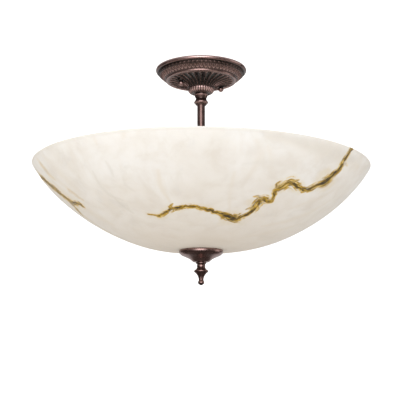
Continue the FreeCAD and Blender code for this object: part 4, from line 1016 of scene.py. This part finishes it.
profile = rounded(
    [(0.0, -334.8), (1.5, -334.6), (2.75, -333.9), (4.2, -332.7), (4.85, -330.8), (4.3, -328.9), (3.65, -327.6, 1),
     (3.65, -326.4), (3.85, -325.0), (4.25, -323.6), (4.4, -322.8, 1), (4.75, -321.9), (5.5, -320.4), (6.5, -318.9),
     (7.7, -317.4), (9.2, -316.2), (10.3, -315.2), (10.7, -314.2), (10.65, -313.5), (10.2, -312.8, 1), (9.6, -312.2),
     (8.4, -311.4), (7.2, -310.2), (6.4, -308.9), (6.05, -308.2, 1), (6.3, -307.4), (6.35, -306.2), (6.25, -305.0),
     (6.0, -303.9, 1), (6.4, -303.4), (7.2, -302.9), (7.75, -302.2), (7.8, -301.4), (7.6, -300.65, 1), (4.93, -300.6, 1),
     (4.93, -310.6, 1), (0.0, -310.6)],
    0.3,
)
rub_and_painted_light = np.zeros(len(profile))
# painted highlights on the disc edge, the ball, the neck and the top ring
for r0, z0, spread in ((10.7, -314.0, 1.0), (4.85, -330.8, 1.6), (6.3, -306.2, 1.2), (7.8, -301.8, 0.8)):
    rub_and_painted_light += 0.20 * np.exp(-((profile[:, 1] - z0) ** 2 + (profile[:, 0] - r0) ** 2) / spread**2)
# painted shade in the narrow waists
for r0, z0 in ((3.65, -327.2), (6.0, -308.2), (6.0, -303.8)):
    rub_and_painted_light -= 0.5 * np.exp(-((profile[:, 1] - z0) ** 2 + (profile[:, 0] - r0) ** 2) / 0.8**2)
finish_piece(turned("turned_finial", profile, 112, False, attributes={"rub_and_painted_light": rub_and_painted_light[:, None]}), "finial", BRONZE, ["finial"])

# ---------------------------------------------------------------------- hub

profile = rounded(
    [(5.05, -167.0, 1), (5.05, -168.2, 1), (9.0, -168.2, 1), (20.8, -171.4), (23.4, -172.9), (24.25, -174.6, 1), (24.25, -180.0, 1),
     (25.45, -180.0, 1), (25.45, -173.6), (24.9, -172.0), (23.0, -170.4), (19.0, -169.0), (14.0, -168.0), (10.0, -167.2), (8.6, -167.0, 1)],
    0.5,
)
finish_piece(turned("hub_lid", profile, 128, True), "root", BRONZE_STEM, ["hub_cover"])
profile = rounded(
    [(5.05, -209.0, 1), (20.0, -209.0, 1), (22.4, -208.3), (23.6, -207.0), (24.0, -205.0, 1), (24.0, -174.6, 1), (22.6, -174.6, 1),
     (22.6, -205.0, 1), (22.0, -206.6), (20.0, -207.6, 1), (5.05, -207.6, 1)],
    0.8,
)
o = turned("hub_shell", profile, 128, True)
cutters = []
for angle in (90.0, 210.0, 330.0):
    cutters.append(turned("cut", [(0, 18), (5.05, 18), (5.05, 30), (0, 30)], 40, False, arm=arm_frame(angle)))
finish_piece(cut_out(o, cutters), "root", BRONZE_STEM, ["hub_body"])
heads = []
for angle in (30.0, 150.0, 270.0):
    p = [(0, 21.2), (1.35, 21.2), (1.35, 25.5), (2.55, 25.5), (2.7, 25.8), (2.55, 26.3), (2.1, 26.65), (1.2, 26.8), (0, 26.82)]
    heads.append(turned("cover_screw", p, 40, False, arm=arm_frame(angle, -176.6)))
    a = math.radians(angle)
    c = np.array([math.cos(a), math.sin(a), 0]) * 27.0 + np.array([0, 0, -176.6])
    u, w, d = np.array([-math.sin(a), math.cos(a), 0]), np.array([0, 0, 1.0]), np.array([math.cos(a), math.sin(a), 0])
    corners = [c + u * i * 0.28 + w * j * 3.2 + d * k * 0.75 for i in (-1, 1) for j in (-1, 1) for k in (-1, 1)]
    slot_cut = put("cut", corners, [(0, 1, 3, 2), (4, 6, 7, 5), (0, 4, 5, 1), (2, 3, 7, 6), (0, 2, 6, 4), (1, 5, 7, 3)], smooth=False)
    cut_out(heads[-1], [slot_cut])
for o in heads[1:]:
    o.parent = None
bpy.ops.object.select_all(action="DESELECT")
for o in heads:
    o.select_set(True)
bpy.context.view_layer.objects.active = heads[0]
bpy.ops.object.join()
heads[0].name = "cover_screw_heads"
finish_piece(heads[0], "root", BRONZE, ["hub_cover_screws"])

profile = rounded([(5.05, -272.9, 1), (5.05, -275.8, 1), (23.8, -275.8, 1), (24.7, -275.4), (25.0, -274.8), (25.0, -273.2), (24.7, -272.85, 1),
                   (23.8, -272.85, 1), (23.4, -274.1, 1), (7.0, -274.1, 1)], 0.5)
profile = rounded([(5.05, -274.2, 1), (5.05, -275.78, 1), (23.8, -275.78, 1), (24.7, -275.4), (25.0, -274.7), (25.0, -273.3), (24.7, -272.85, 1),
                   (23.8, -272.85, 1), (23.4, -274.2, 1)], 0.5)
finish_piece(turned("check_ring", profile, 128, True), "root", BRONZE_STEM, ["inner_check_ring"])

# ----------------------------------------------------- sockets and bulbs

for i, angle in enumerate((90.0, 210.0, 330.0), start=1):
    arm = arm_frame(angle)
    finish_piece(
        threaded_rod("arm_thread_%d" % i, 4.85, 15.0, 36.0, 0.9407, 40, bore=3.3, arm=arm),
        "root", ZINC, ["arm_nipple_%d" % i],
    )
    profile = rounded(
        [(5.05, 27.1, 1), (11.2, 27.1, 1), (12.0, 27.5), (12.5, 28.6), (12.7, 30.8), (14.0, 33.6), (16.0, 36.0, 1), (16.7, 36.9),
         (17.3, 39.0), (17.5, 42.0, 1), (17.5, 54.0, 1), (17.2, 54.5), (17.2, 55.3), (17.5, 55.8, 1), (17.5, 63.8, 1), (17.2, 65.2),
         (16.7, 66.0, 1), (15.4, 66.0, 1), (14.9, 65.5), (14.9, 64.8, 1), (14.9, 41.5, 1), (5.05, 41.5, 1)],
        0.6,
    )
    finish_piece(turned("porcelain_socket_%d" % i, profile, 96, True, arm=arm), "root", PORCELAIN, ["socket_body_%d" % i])
    # screw shell with the lamp thread rolled in it
    pitch, n = 3.6286, 72
    rows = thread_rows(44.5, 64.6, pitch, 10)
    shape = [(4.6, 41.6), (13.9, 41.6), (13.9, 43.6)] + [(14.35, q) for q in rows] + [(14.1, 65.0)]
    inner = [(13.7, 65.0)] + [(13.98, q) for q in rows[::-1]] + [(13.55, 43.8), (13.55, 42.3), (4.6, 42.3)]
    off = np.zeros((len(shape) + len(inner), n))
    wave = thread_wave(rows, n, pitch, 0.32, True)
    off[3 : 3 + len(rows)] = wave
    off[len(shape) + 1 : len(shape) + 1 + len(rows)] = wave[::-1]
    finish_piece(turned("lamp_shell_%d" % i, shape + inner, n, True, off, arm=arm, sharp=50), "root", BRASS, ["screw_shell_%d" % i])
    # bulb
    body = "bulb_%d" % i
    rows = thread_rows(51.4, 68.4, pitch, 10)
    shape = [(0.0, 46.65), (5.6, 46.65), (6.6, 46.9), (11.4, 49.4), (12.2, 50.4)] + [(13.15, q) for q in rows] + [(12.75, 69.3), (12.95, 70.0), (12.75, 70.4)]
    inner = [(12.3, 70.4), (12.2, 52.2), (0.0, 52.2)]
    off = np.zeros((len(shape) + len(inner), n))
    off[5 : 5 + len(rows)] = thread_wave(rows, n, pitch, 0.62, True)
    o = turned("bulb_screw_%d" % i, shape + inner, n, False, off, arm=arm, sharp=45)
    finish_piece(o, body, NICKEL, ["bulb_base_%d" % i])
    o.data.materials.append(VITRITE)
    ax = np.array(arm[2])
    for f in o.data.polygons:
        c = np.array(f.center) / MM - arm[3]
        s = float(c @ ax)
        if s < 50.0 and math.sqrt(max(c @ c - s * s, 0)) > 0:
            f.material_index = 1
    p = rounded([(0.0, 45.1), (2.2, 45.15), (3.4, 45.5), (4.2, 46.0), (4.3, 46.55, 1), (0.0, 46.6)], 0.3)
    finish_piece(turned("contact_button_%d" % i, p, 40, False, arm=arm), body + "_tip", NICKEL, ["bulb_tip_%d" % i])
    dome = [(30.0 * math.sin(a), 123.0 + 30.0 * math.cos(a)) for a in np.radians(np.arange(0, 96, 4))]
    neck = [(29.4, 116.6), (27.4, 109.2), (24.4, 101.8), (21.2, 95.4), (18.2, 89.6), (15.9, 84.0), (14.5, 78.4), (13.6, 73.4), (12.9, 71.2),
            (12.15, 70.3), (11.9, 68.5), (11.9, 60.0, 1)]
    outer = np.concatenate([np.array(dome), rounded([dome[-1]] + neck, 1.2)[1:]])
    inner = np.array([(11.0, 60.0), (11.0, 70.6), (13.4, 80.0), (17.2, 90.6), (23.6, 102.6), (28.2, 116.0), (29.0, 123.0)])
    dome_in = np.array([(29.0 * math.sin(a), 123.0 + 29.0 * math.cos(a)) for a in np.radians(np.arange(84, -1, -7))])
    o = turned("bulb_envelope_%d" % i, np.concatenate([outer, inner, dome_in]), 96, False, arm=arm, sharp=60)
    finish_piece(o, body, BULB, ["bulb_glass_%d" % i])

# -------------------------------------------------------------- electrical

wire("hot_lead", [(2.5, 33, -10.5), (2.2, 27, -11.4), (1, 18, -13.5), (0.2, 6, -15.4), (0, 1.9, -21), (0, 1.7, -30), (0, 1.7, -100), (0, 1.7, -170),
                  (0, 1.7, -177.5), (0, 5.2, -184.5), (0, 5.2, -191)], material=BLACK, replaces=["lead_hot"])
wire("neutral_lead", [(-2.5, -33, -10.5), (-2.2, -27, -11.4), (-1, -18, -13.5), (-0.2, -6, -15.4), (0, -1.9, -21), (0, -1.7, -30), (0, -1.7, -100),
                      (0, -1.7, -170), (0, -1.7, -177.5), (0, -5.2, -184.5), (0, -5.2, -191)], material=WHITE, replaces=["lead_neutral"])
for k, (x, y0, y1) in enumerate(((2.2, 25.0, 47.0), (-2.2, -25.0, -47.0))):
    n = 96
    th = np.linspace(0, 2 * math.pi, n, endpoint=False)
    ys = np.linspace(0, 1, 30)
    rad = 6.0 - 1.6 * ys - 0.6 * np.clip((ys - 0.86) / 0.14, 0, 1) ** 2
    rad[:3] = (5.4, 5.9, 6.05)
    ribs = 0.16 * np.cos(th * 16) * np.clip((ys[:, None] - 0.18) * 8, 0, 1) * np.clip((0.97 - ys[:, None]) * 12, 0, 1)
    p = [(2.3, 0.35), (2.3, 0.0)] + [(r - 0.2, t) for r, t in zip(rad, ys)] + [(0.0, 1.0)]
    p = [(0.0, 0.35)] + p
    off = np.zeros((len(p), n))
    off[3:-1] = ribs
    wings = np.maximum(np.cos(th), 0) ** 40 + np.maximum(-np.cos(th), 0) ** 40
    off[3:-1] += (np.clip((0.55 - ys[:, None]) * 5, 0, 1) * np.clip(ys[:, None] * 9, 0, 1)) * wings * 1.6
    prof = np.array([(r, y0 + (y1 - y0) * t) for r, t in p])
    ex, ey, ez = np.array([1.0, 0, 0]), np.array([0, 0, 1.0]), np.array([0, 1.0, 0])
    o = turned("wire_nut_%d" % (k + 1), prof, n, False, off, arm=(ex, ey, ez, np.array([x, 0, -11.0])), sharp=45)
    finish_piece(o, "root", ORANGE, ["wire_connectors"])

# ------------------------------------------------ finish of the CAD pieces

FINISH = {
    "crossbar": ZINC, "stud_lock_nuts": ZINC, "nipple_lock_washer": ZINC, "nipple_hex_nut": ZINC, "hub_top_nut": ZINC,
    "arm_nuts": ZINC, "rod_nuts": ZINC, "rod_lock_washer": BRONZE_STEM, "ground_screw": GREEN, "ground_terminal": TINNED,
    "nipple_terminal": TINNED, "inner_gasket": RUBBER, "splice_caps": SPLICE, "ground_lead": GREENWIRE,
    "socket_leads": BLACK, "centre_contact_1": BRASS, "centre_contact_2": BRASS, "centre_contact_3": BRASS,
}
for node, m in FINISH.items():
    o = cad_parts[node]
    o.data.materials.clear()
    o.data.materials.append(m)

# ------------------------------------------------------------------- studio


def plain(name, color, strength):
    m = new_material(name)
    e = add(m, "ShaderNodeEmission", {"Color": (*color, 1.0), "Strength": strength})
    out = add(m, "ShaderNodeOutputMaterial")
    m.node_tree.links.new(e.outputs[0], out.inputs[0])
    return m


def stage_mesh(name, verts, faces, material):
    me = bpy.data.meshes.new(name)
    me.from_pydata(verts, [], faces)
    me.materials.append(material)
    me.shade_smooth()
    o = bpy.data.objects.new(name, me)
    bpy.context.scene.collection.objects.link(o)
    return o


def dome(name, radius, floor, material, rows=40, n=96):
    """A round studio sweep: flat floor, curved into a wall and a ceiling."""
    line = [(0.0, floor), (radius * 0.35, floor), (radius * 0.7, floor)]
    line += [(radius * 0.75 + radius * 0.25 * math.sin(a), floor + radius * 0.25 * (1 - math.cos(a))) for a in np.linspace(0, math.pi / 2, 12)]
    top = floor + radius * 0.25
    line += [(radius * math.cos(a), top + radius * 0.9 * math.sin(a)) for a in np.linspace(0.05, math.pi / 2, 20)]
    verts, faces = [], []
    for r, z in line:
        for k in range(n):
            a = 2 * math.pi * k / n
            verts.append((r * math.cos(a), r * math.sin(a), z))
    for i in range(len(line) - 1):
        for k in range(n):
            a, b = i * n, (i + 1) * n
            faces.append((a + k, a + (k + 1) % n, b + (k + 1) % n, b + k))
    return stage_mesh(name, verts, faces, material)


floor_material = new_material("studio_floor")
spread = noise(floor_material, place(floor_material), 0.6, 2.0, 0.5)
shader(
    floor_material,
    color=ramp(floor_material, spread, [(0.3, (0.90, 0.90, 0.895)), (0.7, (0.93, 0.93, 0.925))]),
    rough=0.9,
    emission=(1.0, 1.0, 1.0, 1.0),
    emission_strength=0.7,
)
sweep = dome("studio_sweep", 14.0, -0.75, floor_material)
sweep.visible_diffuse = False
sweep.visible_glossy = False
sweep.visible_transmission = False
sweep.visible_volume_scatter = False
sweep.visible_shadow = False

# what the metal mirrors: a dim room
room_material = new_material("studio_room")
g = add(room_material, "ShaderNodeSeparateXYZ", {0: place(room_material)})
level = span(room_material, g.outputs[2], -6.0, 6.0)
tone = ramp(room_material, level, [(0.0, (0.045, 0.038, 0.034)), (0.42, (0.055, 0.050, 0.046)), (0.6, (0.10, 0.10, 0.10)), (1.0, (0.40, 0.40, 0.41))])
e = add(room_material, "ShaderNodeEmission", {"Color": tone, "Strength": 1.0})
out = add(room_material, "ShaderNodeOutputMaterial")
room_material.node_tree.links.new(e.outputs[0], out.inputs[0])
room = dome("studio_room", 12.0, -6.0, room_material)
room.visible_camera = False
room.visible_diffuse = False
room.visible_transmission = False
room.visible_volume_scatter = False
room.visible_shadow = False


def soft_light(name, place_at, size, radiance, color=(1, 1, 1), target=(0, 0, -0.17), glossy=True, diffuse=True):
    data = bpy.data.lights.new(name, "AREA")
    data.shape = "RECTANGLE"
    data.size, data.size_y = size
    data.energy = radiance * math.pi * size[0] * size[1]
    data.color = color
    o = bpy.data.objects.new(name, data)
    bpy.context.scene.collection.objects.link(o)
    o.location = place_at
    o.rotation_euler = (Vector(target) - Vector(place_at)).to_track_quat("-Z", "Y").to_euler()
    o.visible_camera = False
    o.visible_glossy = glossy
    o.visible_diffuse = diffuse
    return o


soft_light("key", (-1.08, -1.74, -0.14), (2.5, 2.0), 1.50, (0.985, 0.99, 1.0))
soft_light("key_glint", (-1.00, -1.72, -0.06), (1.25, 1.15), 3.0, diffuse=False)
soft_light("rear_wall", (1.15, 2.2, -1.05), (5.0, 2.0), 0.6, diffuse=False)
soft_light("left_fill", (-2.2, 0.7, -0.4), (1.3, 1.3), 1.30, (1.0, 0.92, 0.78), glossy=False)
soft_light("right_fill", (2.1, -0.9, -0.5), (1.3, 1.3), 1.2, (1.0, 0.97, 0.93))
soft_light("top_back", (0.8, 1.6, 1.9), (1.8, 1.2), 0.9)

world = bpy.data.worlds.new("world")
bpy.context.scene.world = world
world.use_nodes = True
wt = world.node_tree
wt.nodes.clear()
tc = wt.nodes.new("ShaderNodeTexCoord")
sep = wt.nodes.new("ShaderNodeSeparateXYZ")
wt.links.new(tc.outputs["Generated"], sep.inputs[0])
mr = wt.nodes.new("ShaderNodeMapRange")
mr.inputs["From Min"].default_value, mr.inputs["From Max"].default_value = -1.0, 1.0
wt.links.new(sep.outputs[2], mr.inputs["Value"])
wr = wt.nodes.new("ShaderNodeValToRGB")
wt.links.new(mr.outputs[0], wr.inputs[0])
stops = [(0.0, (0.64, 0.58, 0.505)), (0.35, (0.65, 0.615, 0.57)), (0.5, (0.66, 0.65, 0.64)), (0.7, (0.85, 0.85, 0.85)), (1.0, (0.95, 0.95, 0.95))]
while len(wr.color_ramp.elements) < len(stops):
    wr.color_ramp.elements.new(0.5)
for el, (pos, col) in zip(wr.color_ramp.elements, stops):
    el.position = pos
    el.color = (*col, 1.0)
bg = wt.nodes.new("ShaderNodeBackground")
wt.links.new(wr.outputs[0], bg.inputs[0])
bg.inputs[1].default_value = 1.0
wo = wt.nodes.new("ShaderNodeOutputWorld")
wt.links.new(bg.outputs[0], wo.inputs[0])
world.cycles_visibility.glossy = False
world.cycles_visibility.camera = True

bpy.context.scene.view_settings.view_transform = "Standard"
bpy.context.scene.view_settings.look = "None"
